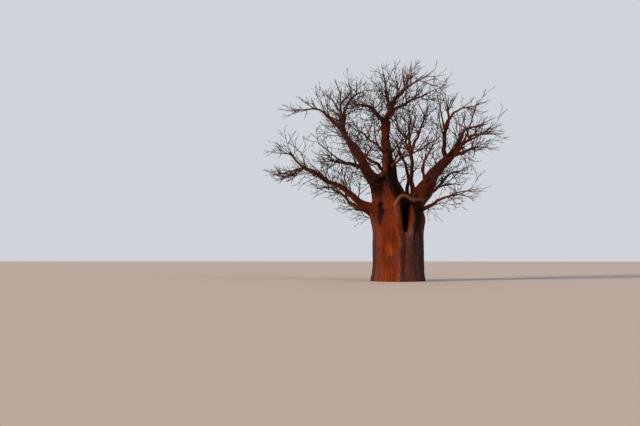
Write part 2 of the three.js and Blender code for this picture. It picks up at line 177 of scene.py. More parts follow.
PANEL_MIDDLE = -20  # the angle of the warm panel, which the grey and its painted shade spare
PANEL_HALF_WIDTH = 30
PANEL_POWER = 4  # how sharply it ends
# The trunk is grey below these heights, fading in between: partly grey bark, partly painted shade on its lower flanks
GREY_AND_SHADE_TOP = 5.0
GREY_AND_SHADE_BOTTOM = 2.6
# Dust and painted shade that dull and darken the trunk low down, all round but for its front: angles from the front,
# and heights.
# Each layer of noise is its grain, a shift that sets it apart from others, and how much it adds.
DUST_AND_SHADE_FROM = 40
DUST_AND_SHADE_FULL = 70
DUST_AND_SHADE_TOP = 5.4
DUST_AND_SHADE_BOTTOM = 2.0
DUST_AND_SHADE_MOST = 0.85
DUST_AND_SHADE_EDGE = (0.6, 2.2, 12)
FOLD_FADE = 0.7  # the height over which a fold comes in and goes out
FOLD_WAVER = 3  # degrees to either side
FOLD_WAVE = 1.3  # the height of one waver
# The sharp ridge from the centre stem's front down to the trunk's: places on it, how far it stands out,
# and its half width. To the right of it lies a flat face, whose way out is turned from the front.
RIDGE = ((0.03, -1.95, 4.3), (-0.04, -1.90, 5.2), (-0.20, -1.55, 5.95), (-0.56, -1.28, 6.85),
         (-0.71, -1.18, 7.3), (-0.74, -0.94, 8.0), (-0.40, -0.74, 8.9))
RIDGE_HEIGHT = 0.10
RIDGE_WIDTH = 0.30
RIDGE_FADE = 1.2  # below its lowest place
RIDGE_BACK = -0.3  # behind this it fades out
FACE_TURN = 42
FACE_BOTTOM = 5.35
FACE_RIGHT = 0.70
FACE_DEPTH = 2

# The dark hollow between the stems, and the limb that has grown across its top
HOLLOW_X = 0.66
HOLLOW_BOTTOM = 3.6
HOLLOW_MIDDLE = 5.0
HOLLOW_TOP = 7.0
HOLLOW_HALF_WIDTH = 0.31
HOLLOW_NARROW = 0.3  # its half width at its bottom, as a share
HOLLOW_RAGGED = 0.25
HOLLOW_GRAIN = 1.7  # swellings per metre
HOLLOW_SHIFT = 7.5
HOLLOW_FRONT = -2.8
HOLLOW_BACK = -0.75
CROSSING = ((-0.12, -1.65, 5.25), (0.02, -1.95, 5.68), (0.25, -2.02, 6.02), (0.52, -1.98, 6.15),
            (0.82, -1.88, 6.02), (1.10, -1.74, 5.84), (1.48, -1.50, 5.86), (1.98, -0.92, 5.88))
CROSSING_RADIUS = 0.115
CROSSING_LENGTH = 3.2
CROSSING_STEP = 0.1
CROSSING_SIDES = 12
CROSSING_KEY = 90
CROSSING_SMOOTH = 0.8  # how much of the bark's relief it lacks
KNOT_RAGGED = 0.45
KNOT_GRAIN = 0.16
# Knot holes: centre and radius
KNOTS = (
    ((-1.02, -1.68, 5.05), 0.13),
    ((-1.10, -1.52, 5.45), 0.12),
    ((-1.22, -1.12, 6.85), 0.10),
    ((-1.10, -0.98, 7.30), 0.13),
    ((2.02, 0.42, 3.30), 0.16),
    ((-0.62, 1.95, 3.90), 0.20),
)

# Dark patches of painted shade, long up and down the bark, in its recesses and on faces turned from the light, and a
# pale patch: centre, half sizes and strength, which is below 0 for a pale patch
SHADE_AND_PALE_PATCHES = (
    ((-1.28, -1.20, 7.10), (0.34, 0.6, 0.62), 0.60),
    ((-1.13, -1.70, 4.95), (0.20, 0.6, 0.66), 0.85),
    ((-0.20, -0.65, 7.00), (0.70, 0.6, 1.60), 0.60),
    ((1.68, -1.25, 4.35), (0.36, 0.8, 1.60), 0.75),
    ((-0.50, -1.90, 2.10), (0.24, 0.7, 0.46), -0.30),
)
PATCH_EDGES = (((0.12, 0.12, 0.45), 0, 0.6), ((0.35, 0.35, 1.1), 4.4, 0.4))
PATCH_FROM = 1.6
PATCH_FULL = 0.1
LIMB_SHADE = 0.20  # how much darker the limbs' bark is than the trunk's
CROSSING_WEAR_AND_HIGHLIGHT = 0.24  # how much lighter the crossing limb is: partly its worn bark, partly a painted highlight
CROSSING_GREY = 0.45

SWAY = 0.018  # how crooked a limb is, as a share of its length
KINK = 0.007  # the same for its shorter bends
KINKS = 3.5  # how many of those it has
# Limbs: the limb or trunk each leaves, where (a share of that limb's length, or a foot inside the
# trunk), the point it passes, its tip, its radius at foot and tip, how soon the radius falls, and how
# much further apart than by their order the tips of its side twigs are
LIMBS = {
    "centre_stem": ("trunk", (0, -0.3, 4.65), (-0.6, -0.35, 8.25),
        (-0.7, -0.2, 11.6), 1.6, 0.3, 2.2, 1.8),
    "left_bough": ("trunk", (-0.9, -0.6, 5.1), (-2, -0.8, 7.95), (-4, -1, 11.4), 0.89, 0.145, 1.7, 1.25),
    "right_bough": ("trunk", (0.8, -0.35, 4.95), (2.45, 0.2, 7.35),
        (4.4, 0.6, 9.65), 0.79, 0.26, 1.1, 1.4),
    "low_left_bough": ("trunk", (-0.9, -0.9, 4.9), (-3.6, -1.6, 6.45),
        (-6, -2, 8), 0.39, 0.12, 1.6, 1.25),
    "lowest_left_bough": ("trunk", (-1.25, 0.8, 4.2), (-2.2, 1.1, 5.25),
        (-3.05, 1.4, 5.45), 0.295, 0.14, 1.2, 1.4),
    "lowest_left_arm": ("lowest_left_bough", 0.95, (-3.9, 1.9, 6.35),
        (-5.15, 2.5, 7.3), 0.135, 0.07, 1, 1.4),
    "centre_left_bough": ("centre_stem", 0.95, (-1.5, -1.3, 12.45),
        (-2.4, -2.2, 12.7), 0.205, 0.08, 1, 0.95),
    "centre_right_bough": ("centre_stem", 0.97, (-0.3, 0.1, 13.1),
        (0.6, 0.6, 14.35), 0.25, 0.11, 1, 1.15),
    "centre_crown_bough": ("centre_right_bough", 0.45, (-0.6, -0.3, 13.55),
        (-0.7, -0.8, 14.25), 0.15, 0.08, 1, 1.3),
    "centre_far_bough": ("centre_right_bough", 0.25, (0.45, 1.6, 13.5),
        (1.4, 2.6, 14.25), 0.155, 0.085, 1, 1.3),
    "left_outer_bough": ("left_bough", 0.96, (-4.7, -1.4, 11.9),
        (-5.4, -1.8, 12.45), 0.14, 0.085, 1, 1.25),
    "left_inner_bough": ("left_bough", 0.94, (-3.75, 0.8, 13.25), (-3.25, 2.4, 14.6), 0.13, 0.08, 1, 1.3),
    "shaded_bough": ("left_bough", 0.32, (-2.8, -2.6, 8.2), (-4, -3.8, 8.3), 0.205, 0.09, 1, 1.25),
    "back_left_bough": ("centre_stem", 0.4, (-2.3, 1.9, 9.75), (-3.75, 3.4, 11.25), 0.155, 0.08, 1, 1.3),
    "low_left_upper_bough": ("low_left_bough", 0.95, (-6.8, -2.5, 8.35),
        (-7.35, -2.9, 9), 0.115, 0.07, 1, 1.25),
    "right_upright_bough": ("right_bough", 0.86, (3.5, -0.6, 10.3),
        (3.7, -1.4, 11.15), 0.185, 0.115, 1, 1.6),
    "right_upright_arm": ("right_upright_bough", 0.93, (3.9, -1.9, 11.75),
        (4.4, -2.4, 12.05), 0.11, 0.07, 1, 1.6),
    "right_outer_bough": ("right_bough", 0.97, (4.8, 1.1, 10.5), (5.1, 1.6, 11.3), 0.19, 0.12, 1, 2),
    "right_far_bough": ("right_bough", 0.93, (4.95, -0.6, 10), (5.35, -1.6, 10.4), 0.14, 0.1, 1, 1.5),
    "right_low_bough": ("right_bough", 0.9, (5.2, 1.2, 9.7), (5.95, 1.9, 10.15), 0.11, 0.07, 1, 1.4),
    "slender_stem_left": ("trunk", (0.75, 0.55, 5.3), (0.8, 1, 8.1),
        (0.25, 2, 10.1), 0.17, 0.085, 1.2, 2),
    "slender_stem_right": ("trunk", (1.2, 0.1, 5.3), (1.17, 0, 8.05),
        (1.1, -0.2, 9.75), 0.21, 0.125, 1.2, 1.9),
    "slender_back_arm": ("slender_stem_right", 0.93, (0.75, 2.2, 10.95),
        (0.15, 4, 12.2), 0.11, 0.065, 1, 1.4),
    "slender_right_arm": ("slender_stem_right", 0.95, (1.5, -1, 10.35),
        (1.9, -1.9, 11.25), 0.12, 0.07, 1, 1.05),
    "right_inner_bough": ("right_bough", 0.4, (1.95, -1.4, 8.2), (2.35, -2.7, 9.15), 0.11, 0.065, 1, 1.8),
    "right_lowest_bough": ("trunk", (1.65, -0.6, 5.1), (3.1, -1.6, 5.8),
        (4.05, -2.4, 6.15), 0.175, 0.065, 1.5, 1.3),
    "right_lower_bough": ("trunk", (1.75, 0.8, 5.5), (3.2, 1.9, 7.2),
        (4.15, 2.8, 8.25), 0.19, 0.09, 1.5, 1.25),
    "back_bough": ("trunk", (0, 0.9, 5), (-0.75, 3.6, 7.95), (-0.8, 5.6, 10.05), 0.485, 0.15, 1.4, 2.2),
    "back_right_bough": ("back_bough", 0.75, (1.1, 5.8, 10.3), (3.35, 6.3, 11.6), 0.1, 0.055, 1, 2.4),
    "front_left_bough": ("centre_stem", 0.66, (-1.85, -1.8, 10.25),
        (-2.6, -3.6, 10.45), 0.085, 0.05, 1, 1.4),
    "front_right_bough": ("centre_stem", 0.52, (0.3, -1.9, 8.9), (0.95, -3.6, 9.1), 0.075, 0.05, 1, 3),
}
HEADING_STEP = 0.02
LEAST_STEPS = 4  # along a limb
END_SHARE = 0.96  # a limb's end heading is taken from here to its tip
LINE_STEP = 0.22  # between the points that the distance to a limb is measured from
# How far the left bough strays to one side in its lower half, and back in its upper
DOUBLE_BENDS = {"left_bough": (0.28, 0, 0.06)}

# Masses of twigs: the bough each grows from the tip of, then the centre and half sizes of its space,
# and how much further apart than by their order its tips are
SPACES = {
    "left_bough": ((-4.05, -0.6, 13.45), (1.35, 1.7, 1.85), 1.15),
    "low_left_bough": ((-8.15, -1.4, 8), (2.1, 1.8, 0.9), 0.7),
    "lowest_left_arm": ((-5.65, 3, 7.35), (1.75, 1.8, 1.2), 0.8),
    "centre_left_bough": ((-2.8, -3.4, 12.35), (1.55, 1.9, 1.3), 0.85),
    "centre_right_bough": ((2.05, 0.6, 15.35), (1.95, 2.2, 1.6), 0.95),
    "centre_crown_bough": ((-0.8, -1, 14.95), (1.4, 2.2, 1.3), 1),
    "centre_far_bough": ((2.9, 3.4, 15), (2.2, 2, 1.2), 0.7),
    "left_outer_bough": ((-7, -2.2, 12.45), (1.7, 1.9, 1.05), 0.8),
    "left_inner_bough": ((-2.75, 3.4, 15.15), (1.55, 2, 1.35), 0.85),
    "shaded_bough": ((-4.45, -4.6, 8.35), (1.35, 1.9, 1.05), 0.65),
    "back_left_bough": ((-5.1, 4.4, 12.15), (1.75, 2, 1.3), 0.65),
    "low_left_upper_bough": ((-7.85, -3.4, 9.05), (1.6, 1.7, 0.8), 0.65),
    "right_upright_bough": ((3.75, -2, 12.3), (1.3, 1.8, 1.3), 1.6),
    "right_upright_arm": ((5.05, -2.8, 12.15), (1.55, 1.8, 1), 0.7),
    "right_outer_bough": ((6.5, 2.4, 11.95), (1.75, 2, 0.95), 1.3),
    "right_far_bough": ((6.55, -2.4, 10.3), (1.55, 1.8, 0.85), 1.2),
    "right_low_bough": ((6.6, 2.4, 10.2), (1.5, 1.8, 0.75), 1.3),
    "slender_stem_left": ((-0.2, 2.8, 11.3), (1.05, 1.5, 1.2), 1),
    "slender_stem_right": ((1, 0.2, 12.2), (1.05, 1.6, 1.8), 1.25),
    "slender_back_arm": ((-0.35, 5.2, 13.35), (1.35, 1.9, 1.35), 0.9),
    "slender_right_arm": ((2.2, -2.6, 11.95), (1.05, 1.7, 1.2), 0.75),
    "right_inner_bough": ((2.6, -3.6, 9.7), (1.1, 1.7, 0.95), 1.45),
    "right_lowest_bough": ((4.9, -3, 6.3), (1.5, 1.8, 0.8), 1.8),
    "right_lower_bough": ((5.1, 3.5, 8.6), (1.4, 1.7, 1.05), 1.4),
    "back_bough": ((0.35, 7, 11.5), (1.9, 2.2, 1.75), 2.4),
    "back_right_bough": ((4.05, 7.2, 12.85), (1.75, 2, 1.65), 1.1),
    "front_left_bough": ((-2.9, -5.2, 10.5), (1.35, 1.9, 1), 1.5),
    "front_right_bough": ((1.4, -5.2, 9.05), (1.35, 1.9, 1.05), 2),
}

# How twigs branch, by order: a mass's stem, its shoots, their shoots, then two finer orders. Most and
# least are a twig's length, fill is how much of the room before it it takes, slim its tip radius as a
# share of its root's, gap how far its tip keeps from the tips of others, and bend and lift how it
# curves. Count is how many shoots are tried on it, first where along it they begin, and lean how far
# they turn away from it, in radians.
Order = namedtuple("Order", "steps sides most least fill slim gap bend lift count first lean")
ORDERS = (
    Order(12, 8, 5.0, 0, 0.85, 0.25, 0, 0, 0, 24, 0.08, 0.78),
    Order(8, 6, 3.2, 0.5, 0.98, 0.3, 0.8, 0.09, 0.13, 12, 0.12, 0.66),
    Order(5, 4, 1.7, 0.3, 1, 0.4, 0.48, 0.07, 0.12, 7, 0.12, 0.60),
    Order(3, 3, 0.9, 0.15, 1.2, 0.55, 0.35, 0.05, 0.10, 2, 0.25, 0.55),
    Order(2, 3, 0.4, 0.08, 1.2, 0.6, 0.32, 0.05, 0.08, 0, 0, 0),
)
FINE_ORDER = 3  # twigs from this order on are tested less
TAPER = 1.3  # how soon a twig slims down
TIP_RING = 0.3  # the radius of its last ring, as a share of its tip radius
SHOOT_RADIUS = 0.76  # of a shoot at its root, as a share of its parent there
FINEST = 0.020  # no twig is thinner than this at its root
GOLDEN_SHARE = 0.6180
GOLDEN_TURN = 2.3999
LIMB_MARGIN = 0.05  # how clear of limbs and stems a twig keeps
FINE_MARGIN = 0.01  # the same for the finer orders
SPACE_MARGIN = 0.06  # how much nearer its own space's centre than another's a twig stays, in half sizes
OBSTACLE_STEP = 0.2  # along a limb, between the places that twigs keep clear of
STEM_TESTS = 5  # places on each other mass's stem that twigs keep clear of
TEST_SHARES = (0.25, 0.5, 0.75, 1.0)
STEEP = 0.9  # a heading that rises more than this takes its sides from +Y in place of +Z
PROUD = 0.25  # how far a twig may stand out of the solids' box
STEM_OVERLAP = 0.12  # how far back inside its bough's tip a stem starts

# Side twigs of the limbs themselves
SIDE_SPACING = 0.37  # along a limb
SIDE_WIDEST = 0.50  # a limb bears them where it is thinner than this
SIDE_LONGEST = 3.8
SIDE_SHORTEST = 1.0
SIDE_RADIUS = 0.080  # of the longest at its root
SIDE_REACH = 1.4  # only short ones may end more than this many half sizes from every space's centre
SIDE_OUTSIDE = 1.5  # the longest of those
DROOPING = -0.9  # how steeply down one leaves its limb that stays shortest
RISING = -0.1
SIDE_DRAW = 112
SIDE_SKEW = 1.2  # how much more common short ones are
SIDE_SUNK = 0.75  # of the limb's radius, from its middle to a side twig's root
SIDE_KEY = 5000
SIDE_ROUND = 2  # beyond the limb's half length, where other limbs are kept clear of

# The draws that each twig takes from its key, by number
STEM_KEY = 1000
SHARE_DRAW = 100
TURN_DRAW = 101
LEAN_DRAW = 102
LENGTH_DRAW = 103
BEND_DRAWS = (104, 105, 106)
WAVE_DRAWS = (107, 108, 109)
WAVE = 0.022
EDGE_DRAW = 110
EDGE_MOST = 1.05  # how far out from its space's centre a fine twig may end
EDGE_RANGE = 0.35  # how much less far than that it may have to end
EDGE_FROM = 0.5  # from this depth in its space on, the tips keep further and further apart
EDGE_GAP = 0.4
LEAN_RANGE = 0.30
FOOT_LEAN = 1.25  # how much wider than its order's lean a shoot turns away at its parent's foot
LEAN_LOSS = 0.45  # how much less at its parent's tip
LENGTH_RANGE = 0.35
SHORTENING = 0.30

# The skin of bark
SKIN_STEP = 0.055 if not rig.quick() else 0.09  # between its vertices
SKIN_ROOT = 0.145  # a limb at least this thick at its foot is in the skin, and the others are tubes
LIMB_BLEND = 0.25  # how softly a limb runs into others, as a share of its radius at its foot
MOST_BLEND = 0.16
HOLLOW_BLEND = 0.05
FIELD_MARGIN = 0.6  # beyond a limb, where its distance is still worked out
FAR = 9.0  # a distance that counts as no contact
TINY = 1e-6
NO_LENGTH = 1e-12
MOST_EXPONENT = 60
LEAST_STEEPNESS = 0.3
ROUGH_STEP = 0.25  # between the rings of a limb in the first rough skin
ROUGH_SIDES = 16
TOP_CUT = 0.01  # how far below its top, where its radius is 0, the rough trunk ends
MOVES = 4  # how often the rough skin is moved onto the tree's surface
MOST_MOVE = 0.15
LEAST_PART = 0.02  # a limb's relief counts where at least this much of a place is the limb's
BARK_FOLDS = ((0.42, 0.42, 3.2), 31.7, 0.050)
BARK_STREAKS = ((0.15, 0.15, 1.1), 11.3, 0.014)
BARK_RINGS = ((0.9, 0.9, 0.17), 5.1, 0.010)
LUMPS = ((0.85, 3.3, 0.035), (0.3, 9.1, 0.012))
FULL_GIRTH = 0.8  # from this radius on the finer relief has its full height
LEAST_GIRTH = 0.15  # the least share of it
RELIEF_UNIT = 0.08
TUBE_STEP = 0.10  # between the rings of a slender bough
TUBE_SIDES = 14
COLLAR = 0.55  # how much thicker a slender bough is where it leaves its parent
COLLAR_LENGTH = 1.6  # in radii
KNOBS = ((0.16, 0.10), (0.07, 0.06))  # grain and height
# How much lighter the slender boughs' knobs and darker their dents are made: painted highlight and painted shade
KNOB_SHADE_AND_HIGHLIGHT = 8

# Looks. Colours are linear, and a ramp is made of places and their colours.
BARK_WARM = ((0.15, (0.014, 0.003, 0.001)), (0.42, (0.105, 0.018, 0.003)), (0.62, (0.175, 0.032, 0.005)),
             (0.90, (0.320, 0.080, 0.018)))
BARK_GREY = ((0.15, (0.018, 0.008, 0.007)), (0.42, (0.090, 0.028, 0.018)), (0.62, (0.135, 0.049, 0.034)),
             (0.90, (0.210, 0.100, 0.080)))
# Dust and painted shade low on the trunk's flanks
DUST_AND_SHADE_COLOUR = (0.036, 0.021, 0.023)
TWIG_BROWNS = ((0.060, 0.030, 0.026), (0.085, 0.036, 0.026), (0.048, 0.026, 0.025))
FLOOR_COLOUR = (0.72, 0.70, 0.67)
BACKGROUND = (0.62, 0.66, 0.70)
SKY_LIGHT = (0.26, 0.27, 0.30)
# Lamps: the side each shines from, in degrees from the camera's side to the right, its height, strength,
# colour and how wide it is
LAMPS = (
    ("warm_lamp", -56, 17, 3.7, (1.0, 0.66, 0.40), 8),
    ("right_lamp", 55, 25, 0.6, (1.0, 0.85, 0.78), 40),
)
# How much each part adds to the bark's tone, which picks a colour from its ramps
TONE_MIDDLE = 0.5
# Relief and streaks lighten the bark where it stands out and darken its grooves: painted highlight and painted shade
RELIEF_SHADE_AND_HIGHLIGHT = 0.16
STREAK_SHADE_AND_HIGHLIGHT = 0.09
TONE_GRAIN = 0.7
# How much the hollow attribute darkens the tone, mostly with painted shade in the hollow, the knot holes and the shade
# patches
TONE_DARK = 0.9
MOTTLE = {"Scale": 0.9, "Detail": 5.0, "Roughness": 0.6}
GRAIN = {"Scale": 9.0, "Detail": 6.0, "Roughness": 0.65}
GRAIN_STRETCH = (1, 1, 0.35)
GREY_PATCHES = 0.30
GREY_RAMP = ((0.50, (0, 0, 0)), (0.72, (1, 1, 1)))
BARK_ROUGHNESS = 0.62
BARK_ROUGHNESS_RANGE = 0.3
BARK_SPECULAR = 0.10
PIT_SCALE = 6.0
PIT_WIDTH = 0.12
PIT_DEPTH = 1.5
BUMP = {"Strength": 0.55, "Distance": 0.03}
TWIG_ROUGHNESS = 0.85
TWIG_SPECULAR = 0.25
FLOOR_ROUGHNESS = 0.9
FLOOR_HALF = 400
SIGHT = 2000  # how far the camera sees


# Numbers drawn from whole numbers, so that the tree comes out the same each time

def mix(key, n):
    """A whole number that depends only on its two whole numbers."""
    with np.errstate(over="ignore"):
        h = (np.asarray(key, np.uint32) ^ (np.asarray(n, np.uint32) + np.uint32(0x9E3779B9)))
        h = h * np.uint32(0x85EBCA6B)
        h = h ^ (h >> np.uint32(13))
        h = h * np.uint32(0xC2B2AE35)
        return h ^ (h >> np.uint32(16))


def chance(key, n):
    return mix(key, n) / 2 ** 32


def spread(key, n):
    return 2 * chance(key, n) - 1


def draws(key, numbers, size):
    return size * np.stack([spread(key, n) for n in numbers], axis=-1)


def noise(points):
    """Smooth noise from -1 to 1 with one swelling per unit of length."""
    cell = np.floor(points).astype(np.int64)
    part = points - cell
    ease = part * part * (3 - 2 * part)
    total = np.zeros(len(points))
    for corner in np.ndindex(2, 2, 2):
        at = (cell + corner).astype(np.uint32)
        value = chance(mix(at[:, 0], at[:, 1]), at[:, 2])
        weight = np.prod(np.where(corner, ease, 1 - ease), axis=1)
        total += value * weight
    return 2 * total - 1


def layer(points, grain, shift, size):
    """One layer of noise."""
    return size * noise(points / grain + shift)


# Small vector sums on arrays

def unit(v):
    return v / np.maximum(np.linalg.norm(v, axis=-1, keepdims=True), NO_LENGTH)


def dot(a, b):
    return np.sum(a * b, axis=-1)


def smooth(a, b, x):
    t = np.clip((x - a) / (b - a), 0, 1)
    return t * t * (3 - 2 * t)


def sideways(heading):
    """Two directions square to each heading."""
    is_steep = np.abs(heading[..., 2:3]) > STEEP
    upright = np.where(is_steep, (0.0, 1.0, 0.0), (0.0, 0.0, 1.0))
    side = unit(np.cross(upright, heading))
    return side, np.cross(heading, side)


def around(headings, turns):
    """Directions square to the headings, turned round them."""
    side, front = sideways(headings)
    return side * np.cos(turns)[:, None] + front * np.sin(turns)[:, None]


def soft_min(a, b, blend):
    """The smaller of two distances with a rounded crease, and how much of it is the second."""
    share = 1 / (1 + np.exp(np.clip((b - a) / blend, -MOST_EXPONENT, MOST_EXPONENT)))
    lower = np.minimum(a, b)
    return lower - blend * np.log(np.exp((lower - a) / blend) + np.exp((lower - b) / blend)), share


def union(field, out, distance, way, blend):
    """The distance from two solids together, the way out, and the second's share in each place."""
    field, share = soft_min(field, distance, blend)
    return field, out * (1 - share)[:, None] + way * share[:, None], share


def cut(field, out, distance, way):
    """The same for a solid less a hole."""
    field, out, share = union(-field, -out, distance, way, HOLLOW_BLEND)
    return -field, -out, share


# The trunk

def trunk_radius(z, angle):
    """The trunk's radius at a height and an angle, before its top rounds over."""
    flare = ROOT_FLARE * np.exp(-np.maximum(z, 0) / ROOT_FLARE_HEIGHT)
    shoulder = SHOULDER * smooth(SHOULDER_FROM, SHOULDER_FULL, z)
    flutes = 1 + sum(depth * np.cos(count * angle + turn) for count, depth, turn in FLUTES)
    return (TRUNK_RADIUS + flare + shoulder) * flutes


def trunk_place(points):
    """A point's place round the trunk: across from the axis, out from it, and its angle."""
    across = points[:, :2] - np.outer(np.clip(points[:, 2] / TRUNK_HEIGHT, 0, 1), (TRUNK_LEAN, 0))
    return across, np.hypot(*across.T), np.arctan2(across[:, 0], -across[:, 1])


def angle_at(points):
    """A point's angle round the trunk, from the front to the right, in degrees."""
    return np.degrees(trunk_place(points)[2])


def trunk_field(points):
    """How far each point is outside the trunk, and the way out."""
    across, out, angle = trunk_place(points)
    z = points[:, 2]
    radius = trunk_radius(z, angle)
    rounding_height = TRUNK_HEIGHT - SHOULDER_FULL
    rise = np.maximum(z - SHOULDER_FULL, 0) / rounding_height
    level = (out / radius) ** 2 + rise ** ROUNDING_POWER - 1
    slope_out = 2 * out / radius ** 2
    slope_up = ROUNDING_POWER * rise ** (ROUNDING_POWER - 1) / rounding_height
    way = np.column_stack([across / np.maximum(out, TINY)[:, None] * slope_out[:, None], slope_up])
    steepness = np.maximum(np.linalg.norm(way, axis=1), LEAST_STEEPNESS)
    return level / steepness, way / steepness[:, None]


def trunk_tube():
    """The trunk's points in rings, for the first rough skin."""
    angle = np.linspace(0, 2 * np.pi, TRUNK_SIDES, endpoint=False)
    rings = []
    for z in np.linspace(0, TRUNK_HEIGHT - TOP_CUT, TRUNK_RINGS):
        rise = max(0, z - SHOULDER_FULL) / (TRUNK_HEIGHT - SHOULDER_FULL)
        radius = trunk_radius(z, angle) * math.sqrt(1 - rise ** ROUNDING_POWER)
        x = TRUNK_LEAN * z / TRUNK_HEIGHT + radius * np.sin(angle)
        rings.append(np.column_stack([x, -radius * np.cos(angle), np.full(TRUNK_SIDES, z)]))
    return ring_mesh(np.array(rings)[None])


# The limbs

class Limb:
    """Where a limb runs, and how thick it is there."""

    def __init__(self, name, order):
        self.name = name
        self.source, foot, via, tip, *rest = LIMBS[name]
        self.foot_radius, self.tip_radius, self.swell, self.sparse = rest
        self.key = order + 1
        self.double_bend = np.array(DOUBLE_BENDS.get(name, (0, 0, 0)))
        self.foot = np.array(foot) if self.source == "trunk" else limbs[self.source].places(foot)[0]
        self.share = None if self.source == "trunk" else foot
        self.tip = np.array(tip)
        way = np.array(via)
        before = np.linalg.norm(way - self.foot)
        self.chord = before + np.linalg.norm(way - self.tip)
        t = before / self.chord
        self.pull = (way - (1 - t) ** 2 * self.foot - t ** 2 * self.tip) / (2 * t * (1 - t))

    def places(self, t):
        t = np.atleast_1d(t)[:, None]
        curve = (1 - t) ** 2 * self.foot + 2 * t * (1 - t) * self.pull + t ** 2 * self.tip
        first = chance(self.key, np.arange(3))
        second = chance(self.key, np.arange(3, 6))
        waves = np.sin(2 * np.pi * (t * (1 + first) + second))
        kinks = np.sin(2 * np.pi * (t * (KINKS + second) + first))
        sway = self.chord * np.sin(np.pi * t) * (SWAY * waves + KINK * kinks)
        return curve + sway + self.double_bend * np.sin(2 * np.pi * t)

    def radii(self, t):
        return self.tip_radius + (self.foot_radius - self.tip_radius) * (1 - np.asarray(t)) ** self.swell

    def headings(self, t):
        t = np.atleast_1d(t)
        before = self.places(t - HEADING_STEP * (t > HEADING_STEP))
        return unit(self.places(np.minimum(t + HEADING_STEP, 1)) - before)

    def end_heading(self):
        return unit(self.places(1) - self.places(END_SHARE))[0]

    def shares(self, step):
        return np.linspace(0, 1, max(LEAST_STEPS, math.ceil(self.chord / step)) + 1)

    def line(self):
        """The points, radii and side directions that the skin's distance is measured from."""
        t = self.shares(LINE_STEP)
        return self.places(t), self.radii(t), sideways(self.headings(t))


class Crossing(Limb):
    """The limb across the hollow's top, as thick at its tip as at its foot."""

    def __init__(self):
        self.name, self.key, self.chord = "crossing", CROSSING_KEY, CROSSING_LENGTH
        self.foot_radius = self.tip_radius = CROSSING_RADIUS
        self.swell = 1

    def places(self, t):
        knots = np.linspace(0, 1, len(CROSSING))
        return np.column_stack([np.interp(t, knots, values) for values in zip(*CROSSING)])


def limb_field(limb, points):
    """How far each point is outside a limb, the way out, and its place along and across the limb."""
    line, radii, (sides, fronts) = limb.line()
    nearest = np.full(len(points), FAR)
    way = np.zeros((len(points), 3))
    place = np.zeros((len(points), 3))
    lengths = np.concatenate([[0], np.cumsum(np.linalg.norm(np.diff(line, axis=0), axis=1))])
    for i in range(len(line) - 1):
        step = line[i + 1] - line[i]
        t = np.clip(((points - line[i]) @ step) / (step @ step), 0, 1)
        off = points - line[i] - t[:, None] * step
        reach = np.linalg.norm(off, axis=1)
        distance = reach - (radii[i] + t * (radii[i + 1] - radii[i]))
        closer = distance < nearest
        nearest[closer] = distance[closer]
        way[closer] = off[closer] / np.maximum(reach[closer], TINY)[:, None]
        along = lengths[i] + t[closer] * (lengths[i + 1] - lengths[i])
        place[closer] = np.column_stack([off[closer] @ sides[i], off[closer] @ fronts[i], along])
    return nearest, way, place


def between(*walls):
    """How far points are outside the room between some walls, and the way out."""
    distance, way = walls[0]
    for other, other_way in walls[1:]:
        distance, way, _ = cut(distance, np.asarray(way), -other, -np.asarray(other_way))
    return distance, way


def hollow_field(points):
    """How far each point is outside the hollow, and the way out."""
    x, y, z = points.T
    widening = smooth(HOLLOW_BOTTOM, HOLLOW_MIDDLE, z)
    ragged = 1 + HOLLOW_RAGGED * noise(np.column_stack([0 * z + HOLLOW_SHIFT, y, z]) * HOLLOW_GRAIN)
    half_width = HOLLOW_HALF_WIDTH * (HOLLOW_NARROW + (1 - HOLLOW_NARROW) * widening) * ragged
    aside = np.column_stack([np.sign(x - HOLLOW_X), 0 * x, 0 * x])
    return between((np.abs(x - HOLLOW_X) - half_width, aside), (y - HOLLOW_BACK, (0, 1, 0)),
                   (HOLLOW_BOTTOM - z, (0, 0, -1)), (z - HOLLOW_TOP, (0, 0, 1)))


def ridge_at(z):
    """Where the ridge is at these heights, across and to the back, and the heights it is given at."""
    across, back, up = np.array(RIDGE).T
    return np.interp(z, up, across), np.interp(z, up, back), up


def cleft_field(points):
    """How far each point is outside the room before the centre stem's flat face, and the way out."""
    ridge_x, ridge_y, _ = ridge_at(points[:, 2])
    x, y, z = points.T
    turn = math.radians(FACE_TURN)
    off = (x - ridge_x) * math.sin(turn) - (y - ridge_y) * math.cos(turn)
    return between((-off, (-math.sin(turn), math.cos(turn), 0)), (FACE_BOTTOM - z, (0, 0, -1)),
                   (x - FACE_RIGHT, (1, 0, 0)))


def skin_field(points, skin_limbs):
    """How far each point is outside the tree, the way out, and each solid's part in that place."""
    field, out = trunk_field(points)
    parts = [np.ones(len(points))]
    for limb in skin_limbs:
        line, _, _ = limb.line()
        margin = limb.foot_radius + FIELD_MARGIN
        near = np.all((points > line.min(0) - margin) & (points < line.max(0) + margin), axis=1)
        distance = np.full(len(points), FAR)
        way = np.zeros((len(points), 3))
        distance[near], way[near], _ = limb_field(limb, points[near])
        blend = min(LIMB_BLEND * limb.foot_radius, MOST_BLEND)
        field, out, share = union(field, out, distance, way, blend)
        parts = [part * (1 - share) for part in parts] + [share]
    field, out, _ = cut(field, out, *cleft_field(points))
    holes = [hollow_field(points)]
    for centre, radius in KNOTS:
        off = points - centre
        reach = np.linalg.norm(off, axis=1)
        ragged = radius * (1 + layer(points, KNOT_GRAIN, radius, KNOT_RAGGED))
        holes.append((reach - ragged, off / np.maximum(reach, TINY)[:, None]))
    # dark is how much of each place is a hole's wall, which is given painted shade
    dark = np.zeros(len(points))
    for hole in holes:
        field, out, share = cut(field, out, *hole)
        dark = np.maximum(dark, share)
    field, out, _ = cut(field, out, points[:, 2], np.array((0, 0, 1)))
    distance, way, _ = limb_field(crossing, points)
    field, out, share = union(field, out, distance, way, HOLLOW_BLEND)
    return field, out, parts, dark * (1 - share), share


# Meshes from arrays

